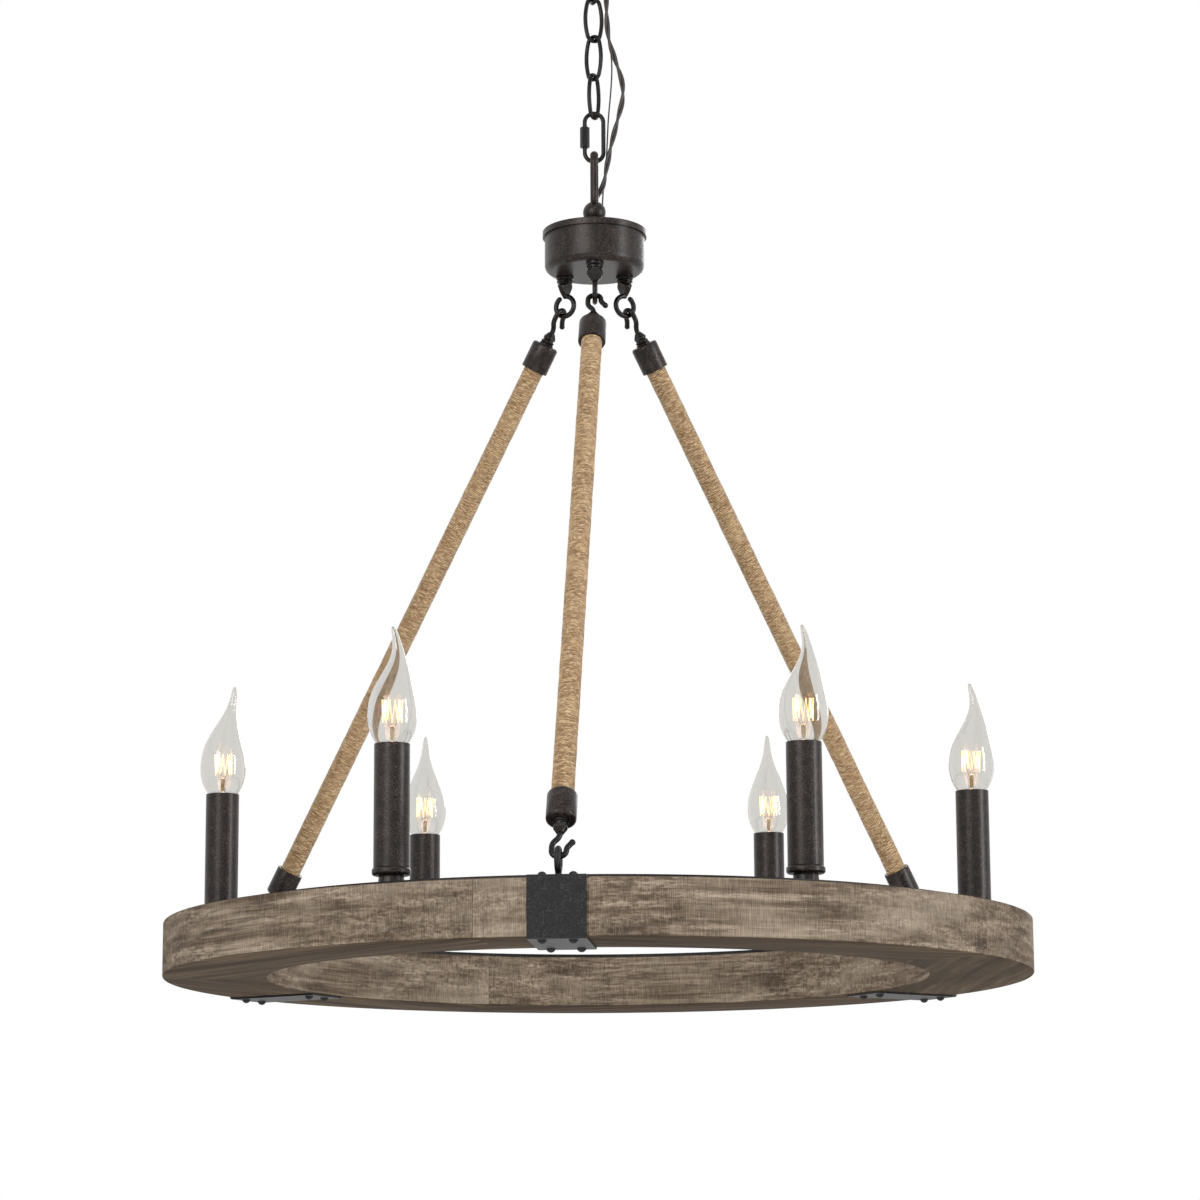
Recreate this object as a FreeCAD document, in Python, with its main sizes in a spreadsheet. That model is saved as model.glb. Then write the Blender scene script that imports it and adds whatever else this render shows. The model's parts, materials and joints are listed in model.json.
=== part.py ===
import FreeCAD, Part
import Sketcher
import math
import os
import re

# A round ceiling light: a flat oak hoop hung on three slanting jute ropes from
# a metal hub, which hangs on a short chain from a ceiling plate. Six candle
# holders with bent-tip bulbs stand on the hoop.
#
# Millimetres. The origin is on the ceiling plane, in the middle of the
# crossbar's top face, and everything hangs below it at negative Z. The room
# side that the light is seen from is -Y, and +X is to the right. Azimuths are
# in degrees from the viewer's side (-Y), positive towards +X.

V = FreeCAD.Vector
doc = FreeCAD.newDocument("hoop_light")

# ---------------------------------------------------------------- dimensions
SIZES = [
    # ceiling plate
    ("bar_length", 110), ("bar_width", 20), ("bar_thickness", 2),
    ("slot_spacing", 88.9), ("slot_length", 12), ("slot_width", 5),
    ("nipple_radius", 4.8), ("nipple_bore_radius", 3.5), ("nipple_in_collar", 8),
    ("ground_screw_radius", 2), ("ground_screw_head", 3.8), ("ground_screw_x", 24),
    ("canopy_radius", 62), ("canopy_depth", 25), ("canopy_wall", 1.2),
    ("canopy_lip", 6), ("canopy_shoulder_radius", 50), ("canopy_shoulder_depth", 19),
    ("canopy_flat_radius", 30), ("collar_clearance", 0.35),
    ("collar_radius", 13.25), ("collar_height", 14), ("collar_below", 6),
    ("collar_floor", 3), ("cord_hole_radius", 4.2),
    ("ring_nut_radius", 17), ("ring_nut_chamfer", 1), ("ring_nut_play", 0.08),
    ("ceiling_loop_wire", 5), ("ceiling_loop_half_width", 9.5), ("ceiling_loop_drop", 30.4),
    ("ceiling_loop_turn", 20),
    # chain and quick link
    ("link_length", 38.6), ("link_width", 17.5), ("link_wire", 3.3), ("link_bend", 5.4), ("link_play", 0.2),
    ("quick_length", 42.9), ("quick_width", 18), ("quick_wire", 3.4),
    ("quick_nut_radius", 3.75), ("quick_nut_length", 16.5), ("quick_nut_play", 0.15),
    ("quick_gap", 5), ("quick_gap_up", 5),
    # hub
    ("hub_loop_wire", 6.4), ("hub_loop_width", 20), ("hub_loop_rise", 50.1),
    ("ball_radius", 9), ("ball_above_lid", 15.5), ("neck_radius", 5.5), ("neck_foot_radius", 9),
    ("stem_radius", 4.8), ("stem_below_lid", 10), ("stem_bore_radius", 2.7),
    ("hub_nut_radius", 9), ("hub_nut_height", 5),
    ("lid_radius", 40.65), ("lid_height", 5), ("lid_wall", 1.5), ("lid_edge", 0.8),
    ("drum_radius", 39), ("drum_height", 31.5), ("drum_wall", 1.5), ("drum_edge", 5.5),
    ("hub_hook_circle", 27), ("hub_hook_wire", 4), ("hub_hook_ring", 8), ("hub_hook_drop", 23.5),
    ("hub_hook_collar_radius", 6.8), ("hub_hook_collar", 4.8), ("hub_hook_leaf_radius", 6.4),
    ("hub_hook_stud_radius", 2.5), ("hub_hook_stud", 8), ("hub_hook_nut_radius", 5.5),
    ("hub_hook_nut_height", 4), ("hub_hook_tip", 52),
    # ropes
    ("rope_diameter", 16), ("rope_visible", 443), ("rope_in_cap", 18),
    ("cap_radius", 10.5), ("cap_mouth_radius", 10.1), ("cap_length", 22), ("cap_play", 0.1),
    ("rope_hook_reach", 25.65), ("rope_hook_wire", 4), ("rope_hook_bend", 5),
    ("rope_hook_neck_radius", 5.6), ("rope_hook_neck", 3.6), ("rope_hook_seat", 0.3),
    ("rope_hook_tip", 8), ("rope_hook_flare", 38), ("rope_hook_tip_swell", 0.2),
    ("rope_hook_shank_swell", 0.6),
    # hoop
    ("hoop_radius", 325), ("hoop_width", 77.5), ("hoop_height", 40), ("seam_turn", -15),
    ("channel_inner_reach", 22), ("channel_outer_reach", 21.5), ("channel_height", 3.5),
    ("channel_sheet", 1), ("strap_width", 40), ("strap_sheet", 1.5), ("strap_bend", 2),
    ("notch_margin", 1), ("screw_pitch", 21), ("screw_outer_inset", 7.5), ("screw_inner_inset", 9.5),
    ("screw_radius", 2), ("screw_hole_play", 0.2), ("screw_length", 14),
    ("screw_head_radius", 3.4), ("screw_head_height", 2.7),
    ("eye_inset", 13), ("eye_wire", 4.5), ("eye_ring", 7.25), ("eye_rise", 12.5), ("eye_stem", 24),
    # candles
    ("candle_inset", 41), ("cup_foot_radius", 9.4), ("cup_neck_radius", 8.65), ("cup_neck_top", 9.8),
    ("bead_radius", 13.55), ("bead_top", 15.3), ("bead_round", 2), ("cup_bore_radius", 5),
    ("sleeve_radius", 12.5), ("sleeve_wall", 1), ("sleeve_length", 85.7),
    ("holder_radius", 10), ("holder_below_rim", 7.2), ("holder_stem_radius", 4.9),
    ("holder_floor", 3), ("base_radius", 6.5), ("base_play", 0.25), ("base_length", 22.5),
    ("base_flare_radius", 10.4), ("base_flare_height", 4.4), ("glass_start", 2),
    ("glass_radius", 17.5), ("glass_neck_radius", 10.7), ("glass_wall", 0.8), ("glass_length", 82.5),
    ("stem_glass_radius", 2.2), ("stem_glass_length", 12), ("tip_offset", 8), ("tip_lean", 3.8),
    # wiring
    ("cord_diameter", 4.6), ("earth_diameter", 1.3),
]
sheet = doc.addObject("Spreadsheet::Sheet", "dims")
for row, (alias, value) in enumerate(SIZES, start=1):
    sheet.set("A%d" % row, alias)
    sheet.set("B%d" % row, str(value))
    sheet.setAlias("B%d" % row, alias)
doc.recompute()
ALIASES = [alias for alias, _ in SIZES]


def size(alias):
    """The value of one driving dimension."""
    return float(sheet.get(alias))


# Heights and spans that follow from the driving dimensions.
PLACES = [
    ("hoop_inner_radius", "hoop_radius - hoop_width"),
    ("candle_circle", "hoop_radius - candle_inset"),
    ("channel_outer_radius", "candle_circle + channel_outer_reach"),
    ("channel_inner_radius", "candle_circle - channel_inner_reach"),
    ("eye_circle", "hoop_radius - eye_inset"),
    ("screw_outer_row", "hoop_radius - screw_outer_inset"),
    ("screw_inner_row", "hoop_inner_radius + screw_inner_inset"),
    ("canopy_bottom", "-canopy_depth"),
    ("collar_bottom", "canopy_bottom - collar_below"),
    ("nipple_bottom", "canopy_bottom - collar_below + collar_height - nipple_in_collar"),
    ("loop_bottom", "collar_bottom - ceiling_loop_drop"),
    ("link_pitch", "link_length - 2*link_wire - link_play"),
    ("link_1_top", "loop_bottom + ceiling_loop_wire + link_play + link_wire"),
    ("link_4_bottom", "link_1_top - 3*link_pitch - link_length"),
    ("quick_top", "link_4_bottom + link_wire + link_play + quick_wire"),
    ("quick_bottom", "quick_top - quick_length"),
    ("hub_loop_top", "quick_bottom + quick_wire + link_play + hub_loop_wire"),
    ("ball_centre", "hub_loop_top - hub_loop_rise"),
    ("lid_top", "ball_centre - ball_above_lid"),
    ("drum_top", "lid_top - lid_wall"),
    ("drum_bottom", "drum_top - drum_height"),
    ("hook_ring_z", "drum_bottom - hub_hook_drop"),
    ("rope_span", "rope_visible + 2*cap_length + 2*rope_hook_reach"),
    ("ring_span", "rope_span + hub_hook_ring + eye_ring"),
    ("eye_ring_z", "hook_ring_z - sqrt(ring_span^2 - (eye_circle - hub_hook_circle)^2)"),
    ("hoop_top", "eye_ring_z - eye_rise"),
    ("hoop_bottom", "hoop_top - hoop_height"),
    ("sleeve_foot", "hoop_top + bead_top"),
    ("sleeve_top", "sleeve_foot + sleeve_length"),
]
place = doc.addObject("App::VarSet", "place")
NAMES = {alias: "dims." + alias for alias in ALIASES}


def bound(text):
    """An expression with every named dimension pointed at its holder."""
    return re.sub(r"[a-z]\w*", lambda m: NAMES.get(m.group(0), m.group(0)), text)


for name, text in PLACES:
    place.addProperty("App::PropertyFloat", name)
    place.setExpression(name, bound(text))
    NAMES[name] = "place." + name
doc.recompute()


def at(name):
    """The value of one derived height or span."""
    return float(getattr(place, name))


def tie(obj, **exprs):
    """Bind properties to named dimensions; x, y and z set the position."""
    for prop, text in exprs.items():
        path = ".Placement.Base." + prop if prop in ("x", "y", "z") else prop
        obj.setExpression(path, bound(str(text)))
    return obj


def make(kind, label, **exprs):
    obj = doc.addObject(kind, label)
    obj.Label = label
    return tie(obj, **exprs)


def cut(label, base, tool):
    obj = doc.addObject("Part::Cut", label)
    obj.Base, obj.Tool = base, tool
    obj.Label = label
    return obj


def fuse(label, *parts):
    obj = doc.addObject("Part::MultiFuse", label)
    obj.Shapes = list(parts)
    obj.Label = label
    return obj


def ring(label, outer, inner, height, z):
    """A flat tube: two cylinders and a cut."""
    rod = make("Part::Cylinder", label + "_outer", Radius=outer, Height=height, z=z)
    bore = make("Part::Cylinder", label + "_bore", Radius=inner, Height="%s + 2" % height, z="%s - 1" % z)
    return cut(label, rod, bore)


def plane_of(body, role):
    for feature in body.Origin.OriginFeatures:
        if feature.Role == role:
            return feature
    raise RuntimeError("no plane " + role)


def sketch_of(body, label, role, points):
    """A closed outline of straight lines, each corner held by two dimensions."""
    sketch = body.newObject("Sketcher::SketchObject", label)
    sketch.AttachmentSupport = [(plane_of(body, role), "")]
    sketch.MapMode = "FlatFace"
    probe = doc.addObject("App::VarSet", label + "_probe")
    for i, (x, z) in enumerate(points):
        for axis, text in (("u", x), ("v", z)):
            probe.addProperty("App::PropertyFloat", "%s%d" % (axis, i))
            probe.setExpression("%s%d" % (axis, i), bound(str(text)))
    doc.recompute()
    spots = [V(getattr(probe, "u%d" % i), getattr(probe, "v%d" % i), 0) for i in range(len(points))]
    for i, spot in enumerate(spots):
        sketch.addGeometry(Part.LineSegment(spot, spots[(i + 1) % len(spots)]), False)
    for i in range(len(spots)):
        sketch.addConstraint(Sketcher.Constraint("Coincident", i, 2, (i + 1) % len(spots), 1))
    for i, spot in enumerate(spots):
        for kind, value, prop in (("DistanceX", spot.x, "u%d" % i), ("DistanceY", spot.y, "v%d" % i)):
            number = sketch.addConstraint(Sketcher.Constraint(kind, -1, 1, i, 1, value))
            sketch.setExpression("Constraints[%d]" % number, "%s.%s" % (probe.Name, prop))
    return sketch


def lathe(label, points, z, rounds=()):
    """A turned piece: an outline in radius and height, revolved about Z.

    rounds holds (radius text, (radius, height)) pairs that fillet the circular
    edges at those corners.
    """
    body = doc.addObject("PartDesign::Body", label)
    body.Label = label
    sketch = sketch_of(body, label + "_outline", "XZ_Plane", points)
    turn = body.newObject("PartDesign::Revolution", label + "_turned")
    turn.Profile = sketch
    turn.ReferenceAxis = (sketch, ["V_Axis"])
    turn.Angle = 360
    doc.recompute()
    feature = turn
    for number, (radius, corners) in enumerate(rounds):
        names = []
        for i, edge in enumerate(feature.Shape.Edges, start=1):
            if not hasattr(edge.Curve, "Radius"):
                continue
            for r, height in corners:
                if abs(edge.Curve.Radius - r) < 1e-3 and abs(edge.Curve.Center.z - height) < 1e-3:
                    names.append("Edge%d" % i)
        fillet = body.newObject("PartDesign::Fillet", "%s_round_%d" % (label, number))
        fillet.Base = (feature, names)
        fillet.setExpression("Radius", bound(radius))
        doc.recompute()
        feature = fillet
    body.Tip = feature
    tie(body, z=z)
    return body


def feature(label, shape, placement=None):
    obj = doc.addObject("Part::Feature", label)
    obj.Label = label
    obj.Shape = shape
    if placement is not None:
        obj.Placement = placement
    return obj


def towards(azimuth, z=0.0, radius=0.0):
    """A placement whose local X points outward at the given azimuth."""
    turn = FreeCAD.Rotation(V(0, 0, 1), azimuth - 90)
    base = turn.multVec(V(radius, 0, 0)) + V(0, 0, z)
    return FreeCAD.Placement(base, turn)


class Route:
    """A flat centreline of straight runs and tangent arcs in the X-Z plane."""

    def __init__(self, x, z, heading):
        self.here = V(x, 0, z)
        self.heading = math.radians(heading)
        self.start, self.first = self.here, self.heading
        self.edges = []

    def go(self, length):
        end = self.here + V(math.cos(self.heading), 0, math.sin(self.heading)) * length
        self.edges.append(Part.LineSegment(self.here, end).toShape())
        self.here = end
        return self

    def turn(self, degrees, radius):
        side = 1.0 if degrees > 0 else -1.0
        normal = self.heading + side * math.pi / 2
        centre = self.here + V(math.cos(normal), 0, math.sin(normal)) * radius
        angle = math.radians(degrees)

        def on(a):
            return centre + V(math.cos(normal + math.pi + a), 0, math.sin(normal + math.pi + a)) * radius

        self.edges.append(Part.Arc(self.here, on(angle / 2), on(angle)).toShape())
        self.here = on(angle)
        self.heading += angle
        return self

    def rod(self, wire):
        """A round rod along the route."""
        along = V(math.cos(self.first), 0, math.sin(self.first))
        ring_edge = Part.Circle(self.start, along, wire / 2).toShape()
        return Part.Wire(self.edges).makePipeShell([Part.Wire([ring_edge])], True, False)


def four_arc_link(top, length, width, wire, bend):
    """A chain link of two tight end arcs and two long side arcs, all tangent."""
    half, reach = (length - wire) / 2, (width - wire) / 2
    flank = (reach ** 2 + (half - bend) ** 2 - bend ** 2) / (2 * (reach - bend))
    rise = math.atan2(half - bend, flank - reach)
    x, z = reach - flank + flank * math.cos(rise), flank * math.sin(rise)
    middle = top - length / 2

    def spot(u, v):
        return V(u, 0, middle + v)

    rods = []
    for points in ((spot(-x, z), spot(0, half), spot(x, z)), (spot(x, z), spot(reach, 0), spot(x, -z)),
                   (spot(x, -z), spot(0, -half), spot(-x, -z)), (spot(-x, -z), spot(-reach, 0), spot(-x, z))):
        arc = Part.Arc(*points)
        way = arc.tangent(arc.FirstParameter)[0]
        ring_edge = Part.Circle(points[0], way, wire / 2).toShape()
        rods.append(Part.Wire([arc.toShape()]).makePipeShell([Part.Wire([ring_edge])], True, True))
    return rods[0].fuse(rods[1:]).removeSplitter()


def oval(top, length, width, wire):
    """A closed straight-sided link standing in the X-Z plane, its top at the given height."""
    bend = (width - wire) / 2
    z_high, z_low = top - wire / 2 - bend, top - length + wire / 2 + bend
    halves = []
    for centre, side in ((z_high, 1), (z_low, -1)):
        arc = Part.Arc(V(-bend, 0, centre), V(0, 0, centre + side * bend), V(bend, 0, centre)).toShape()
        ring_edge = Part.Circle(V(-bend, 0, centre), V(0, 0, 1), wire / 2).toShape()
        halves.append(Part.Wire([arc]).makePipeShell([Part.Wire([ring_edge])], True, True))
    limbs = [Part.makeCylinder(wire / 2, z_high - z_low, V(x, 0, z_low)) for x in (-bend, bend)]
    return halves[0].fuse(halves[1:] + limbs).removeSplitter()


nodes = []

# ------------------------------------------------------------- ceiling plate
bar = make("Part::Box", "bar_blank", Length="bar_length", Width="bar_width", Height="bar_thickness",
           x="-bar_length/2", y="-bar_width/2", z="-bar_thickness")
slots = []
for side, sign in (("left", -1), ("right", 1)):
    middle = "%d*slot_spacing/2" % sign
    web = make("Part::Box", "slot_" + side, Length="slot_length - slot_width", Width="slot_width",
               Height="bar_thickness + 2", x=middle + " - (slot_length - slot_width)/2",
               y="-slot_width/2", z="-bar_thickness - 1")
    slots.append(web)
    for end, way in (("in", -1), ("out", 1)):
        slots.append(make("Part::Cylinder", "slot_%s_%s" % (side, end), Radius="slot_width/2",
                          Height="bar_thickness + 2", z="-bar_thickness - 1",
                          x=middle + " + %d*(slot_length - slot_width)/2" % way))
slots.append(make("Part::Cylinder", "bar_centre_hole", Radius="nipple_radius",
                  Height="bar_thickness + 2", z="-bar_thickness - 1"))
slots.append(make("Part::Cylinder", "bar_ground_hole", Radius="ground_screw_radius",
                  Height="bar_thickness + 2", x="ground_screw_x", z="-bar_thickness - 1"))
nodes.append(cut("ceiling_crossbar", bar, fuse("bar_openings", *slots)))

nodes.append(ring("nipple", "nipple_radius", "nipple_bore_radius", "-nipple_bottom", "nipple_bottom"))

ground_shank = make("Part::Cylinder", "ground_shank", Radius="ground_screw_radius",
                    Height="bar_thickness + 2", x="ground_screw_x", z="-bar_thickness - 2")
ground_head = make("Part::Cylinder", "ground_head", Radius="ground_screw_head",
                   Height="2.2", x="ground_screw_x", z="-bar_thickness - 4.2")
nodes.append(fuse("ground_screw", ground_shank, ground_head))

hole = "collar_radius + collar_clearance"
nodes.append(lathe("canopy", [
    ("canopy_radius", "0"),
    ("canopy_radius", "-canopy_lip"),
    ("canopy_shoulder_radius", "-canopy_shoulder_depth"),
    ("canopy_flat_radius", "-canopy_depth"),
    (hole, "-canopy_depth"),
    (hole, "-canopy_depth + canopy_wall"),
    ("canopy_flat_radius - 0.2*canopy_wall", "-canopy_depth + canopy_wall"),
    ("canopy_shoulder_radius - 0.6*canopy_wall", "-canopy_shoulder_depth + 0.9*canopy_wall"),
    ("canopy_radius - canopy_wall", "-canopy_lip + 0.4*canopy_wall"),
    ("canopy_radius - canopy_wall", "0"),
], "0"))

nodes.append(lathe("canopy_ring_nut", [
    ("collar_radius + ring_nut_play", "0"),
    ("ring_nut_radius - ring_nut_chamfer", "0"),
    ("ring_nut_radius", "ring_nut_chamfer"),
    ("ring_nut_radius", "collar_below - ring_nut_chamfer"),
    ("ring_nut_radius - ring_nut_chamfer", "collar_below"),
    ("collar_radius + ring_nut_play", "collar_below"),
], "collar_bottom"))

# The collar screws onto the nipple, and a U-shaped loop hangs from its floor.
collar = Part.makeCylinder(size("collar_radius"), size("collar_height"), V(0, 0, at("collar_bottom")))
collar = collar.cut(Part.makeCylinder(size("cord_hole_radius"), size("collar_height") + 2,
                                      V(0, 0, at("collar_bottom") - 1)))
collar = collar.cut(Part.makeCylinder(size("nipple_radius"), size("nipple_in_collar") + 1,
                                      V(0, 0, at("nipple_bottom"))))
drop = size("ceiling_loop_drop") - size("ceiling_loop_wire") / 2 - size("ceiling_loop_half_width")
sunk = size("collar_floor")
loop = Route(-size("ceiling_loop_half_width"), at("collar_bottom") + sunk, -90).go(drop + sunk)
loop.turn(180, size("ceiling_loop_half_width")).go(drop + sunk)
loop_rod = loop.rod(size("ceiling_loop_wire"))
loop_rod.rotate(V(0, 0, 0), V(0, 0, 1), size("ceiling_loop_turn"))
nodes.append(feature("ceiling_loop", collar.fuse(loop_rod).removeSplitter()))

# ----------------------------------------------------------- chain and links
# Each link hangs in the one above it. They stand at these angles to the
# viewer, because a welded chain settles at uneven angles under its load.
LINK_TURNS = (-70, 25, -37, 58)
for number, turn in enumerate(LINK_TURNS, start=1):
    top = at("link_1_top") - (number - 1) * at("link_pitch")
    shape = four_arc_link(top, size("link_length"), size("link_width"), size("link_wire"), size("link_bend"))
    nodes.append(feature("chain_link_%d" % number, shape,
                         FreeCAD.Placement(V(0, 0, 0), FreeCAD.Rotation(V(0, 0, 1), turn))))

# The quick link: an oval with a gap in its left limb that a long nut closes.
quick = oval(at("quick_top"), size("quick_length"), size("quick_width"), size("quick_wire"))
limb_x = -(size("quick_width") - size("quick_wire")) / 2
quick_middle = (at("quick_top") + at("quick_bottom")) / 2
gap_z = quick_middle + size("quick_gap_up")
quick = quick.cut(Part.makeCylinder(size("quick_wire"), size("quick_gap"),
                                    V(limb_x, 0, gap_z - size("quick_gap") / 2)))
nodes.append(feature("quick_link", quick))
nut = make("Part::Prism", "quick_nut_blank", Circumradius="quick_nut_radius", Height="quick_nut_length",
           x="-(quick_width - quick_wire)/2", z="(quick_top + quick_bottom - quick_nut_length)/2")
nut.Polygon = 6
nut_hole = make("Part::Cylinder", "quick_nut_hole", Radius="quick_wire/2 + quick_nut_play",
                Height="quick_nut_length + 2", x="-(quick_width - quick_wire)/2",
                z="(quick_top + quick_bottom - quick_nut_length)/2 - 1")
nodes.append(cut("quick_link_nut", nut, nut_hole))

# ----------------------------------------------------------------------- hub
# Loop, ball, neck and threaded stem are one casting; its plane faces sideways.
ball_z, lid_z = at("ball_centre"), at("lid_top")
loop_wire = size("hub_loop_wire")
hub_loop = oval(at("hub_loop_top"), size("hub_loop_rise") - 1, size("hub_loop_width"), loop_wire)
hub_loop.rotate(V(0, 0, 0), V(0, 0, 1), 90)
stem_bottom = lid_z - size("lid_wall") - size("stem_below_lid")
casting = hub_loop.fuse([
    Part.makeSphere(size("ball_radius"), V(0, 0, ball_z)),
    Part.makeCylinder(size("neck_radius"), ball_z - lid_z, V(0, 0, lid_z)),
    Part.makeCone(size("neck_foot_radius"), size("neck_radius"), (ball_z - lid_z) * 0.3, V(0, 0, lid_z)),
    Part.makeCylinder(size("stem_radius"), lid_z - stem_bottom, V(0, 0, stem_bottom)),
])
casting = casting.cut(Part.makeCylinder(size("stem_bore_radius"), ball_z + 12 - stem_bottom + 1,
                                        V(0, 0, stem_bottom - 1)))
nodes.append(feature("hub_loop", casting.removeSplitter()))

nodes.append(lathe("hub_lid", [
    ("stem_radius", "0"),
    ("lid_radius", "0"),
    ("lid_radius", "-lid_height"),
    ("drum_radius", "-lid_height"),
    ("drum_radius", "-lid_wall"),
    ("stem_radius", "-lid_wall"),
], "lid_top", rounds=[("lid_edge", [(size("lid_radius"), 0.0)])]))

nodes.append(lathe("hub_drum", [
    ("0", "0"),
    ("drum_radius", "0"),
    ("drum_radius", "drum_height"),
    ("drum_radius - drum_wall", "drum_height"),
    ("drum_radius - drum_wall", "drum_wall"),
    ("0", "drum_wall"),
], "drum_bottom", rounds=[("drum_edge", [(size("drum_radius"), 0.0)]),
                          ("drum_edge - drum_wall", [(size("drum_radius") - size("drum_wall"),
                                                      size("drum_wall"))])]))
drum_body = nodes.pop()
stud_holes = []
HUB_HOOKS = (("front", 0), ("left", -120), ("right", 120))
for side, azimuth in HUB_HOOKS:
    stud_hole = make("Part::Cylinder", "stud_hole_" + side, Radius="hub_hook_stud_radius", Height="drum_wall + 2",
                     x="hub_hook_circle*sin(%s)" % azimuth, y="-hub_hook_circle*cos(%s)" % azimuth,
                     z="drum_bottom - 1")
    stud_holes.append(stud_hole)
drum_body.Label = "hub_drum_shell"
nodes.append(cut("hub_drum_", drum_body, fuse("stud_holes", *stud_holes)))
nodes[-1].Label = "hub_drum"

hub_nut = make("Part::Prism", "hub_nut_blank", Circumradius="hub_nut_radius", Height="hub_nut_height",
               z="lid_top - lid_wall - hub_nut_height")
hub_nut.Polygon = 6
hub_nut_hole = make("Part::Cylinder", "hub_nut_hole", Radius="stem_radius", Height="hub_nut_height + 2",
                    z="lid_top - lid_wall - hub_nut_height - 1")
nodes.append(cut("hub_nut", hub_nut, hub_nut_hole))


def cast_neck(foot, beads, leaf, length, tip, thin_in_x):
    """Two beads and a leaf that is flat in one direction, up Z from a foot of the given radius."""
    rest = length - beads
    outline = [(0, 0), (foot, 0), (foot, 0.32 * beads), (0.86 * foot, 0.5 * beads), (0.94 * foot, 0.66 * beads),
               (0.94 * foot, 0.88 * beads), (0.8 * foot, beads), (0.86 * leaf, beads + 0.1 * rest),
               (leaf, beads + 0.3 * rest), (leaf, beads + 0.42 * rest), (0.76 * leaf, beads + 0.7 * rest),
               (tip, length), (0, length)]
    turned = Part.Face(Part.makePolygon([V(r, 0, z) for r, z in outline + outline[:1]]))
    turned = turned.revolve(V(0, 0, 0), V(0, 0, 1), 360)
    wide = foot + leaf
    half = [(wide, -1), (wide, beads), (0.86 * foot, beads), (1.25 * tip, beads + 0.42 * rest), (tip, length),
            (tip, length + 1)]
    corners = half + [(-x, z) for x, z in reversed(half)]
    slab = Part.Face(Part.makePolygon([V(x, -wide, z) for x, z in corners + corners[:1]])).extrude(V(0, 2 * wide, 0))
    if not thin_in_x:
        slab.rotate(V(0, 0, 0), V(0, 0, 1), 90)
    return turned.common(slab)


def hub_hook():
    """A cup hook under the drum, in its local frame: X outward, Z up from the drum's floor."""
    wire, bend = size("hub_hook_wire"), size("hub_hook_ring")
    low = -size("hub_hook_drop")
    route = Route(0, low + bend, 180).turn(180 + 90 + size("hub_hook_tip"), bend)
    tip = Part.makeSphere(wire / 2, route.here)
    root = Part.makeSphere(wire / 2, V(0, 0, low + bend))
    neck = cast_neck(size("hub_hook_collar_radius"), size("hub_hook_collar"), size("hub_hook_leaf_radius"),
                     -low - bend, wire / 2, True)
    neck.rotate(V(0, 0, 0), V(1, 0, 0), 180)
    stud = Part.makeCylinder(size("hub_hook_stud_radius"), size("hub_hook_stud"), V(0, 0, 0))
    nut_z = size("drum_wall")
    nut_disc = Part.makeCylinder(size("hub_hook_nut_radius"), size("hub_hook_nut_height"), V(0, 0, nut_z))
    return route.rod(wire).fuse([tip, root, neck, stud, nut_disc]).removeSplitter()


for side, azimuth in HUB_HOOKS:
    nodes.append(feature("hub_hook_" + side, hub_hook(),
                         towards(azimuth, at("drum_bottom"), size("hub_hook_circle"))))

# --------------------------------------------------------------------- ropes
# A rope runs dead straight between a hub hook and a strap's eye. Its frame has
# Z along the rope, from the lower eye wire's centre up to the hub hook's, and
# X sideways, so that each hook's plane crosses the wire that it holds.
STRAPS = (("front", -4.97), ("left", -120.6), ("right", 122.8))
reach, cap_len = size("rope_hook_reach"), size("cap_length")
span = at("rope_span")


def rope_frame(hub_azimuth, strap_azimuth):
    upper = towards(hub_azimuth, at("hook_ring_z"), size("hub_hook_circle")).Base
    lower = towards(strap_azimuth, at("eye_ring_z"), at("eye_circle")).Base
    along = (upper - lower).normalize()
    start = lower + along * size("eye_ring")
    out = V(along.x, along.y, 0)
    sideways = V(0, 0, 1).cross(out).normalize()
    back = along.cross(sideways)
    return FreeCAD.Placement(start, FreeCAD.Rotation(sideways, back, along, "ZXY"))


def rope_hook(held_wire):
    """A small open hook on a neck, pulled home on the wire that it holds: Z away from the cap."""
    wire, bend = size("rope_hook_wire"), size("rope_hook_bend")
    held = reach - (bend - wire / 2 - held_wire / 2 - size("rope_hook_seat"))
    angle = math.degrees(math.acos(1 - bend / 16.0))
    rise = 16.0 * math.sin(math.radians(angle))
    start = held - rise - 3.0
    route = Route(0, start - 2.0, 90).go(2.0).turn(angle, 8.0).turn(-angle, 8.0).go(3.0)
    route.turn(-180, bend).turn(size("rope_hook_flare"), 6.0).go(size("rope_hook_tip") * 0.5)
    ball = Part.makeSphere(wire / 2 + size("rope_hook_tip_swell"), route.here)
    swell = wire / 2 + size("rope_hook_shank_swell")
    neck = cast_neck(size("rope_hook_neck_radius"), size("rope_hook_neck"), size("rope_hook_neck_radius") * 0.88,
                     start, swell, False)
    return route.rod(wire).fuse([ball, neck])


def rope_cap(_held_wire):
    """A closed metal cap over a rope's end: Z away from the rope, its floor on top."""
    body = Part.makeCone(size("cap_mouth_radius"), size("cap_radius"), cap_len, V(0, 0, -cap_len))
    bore = Part.makeCylinder(size("rope_diameter") / 2 + size("cap_play"), size("rope_in_cap") + 1,
                             V(0, 0, -cap_len - 1))
    return body.cut(bore)


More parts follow.
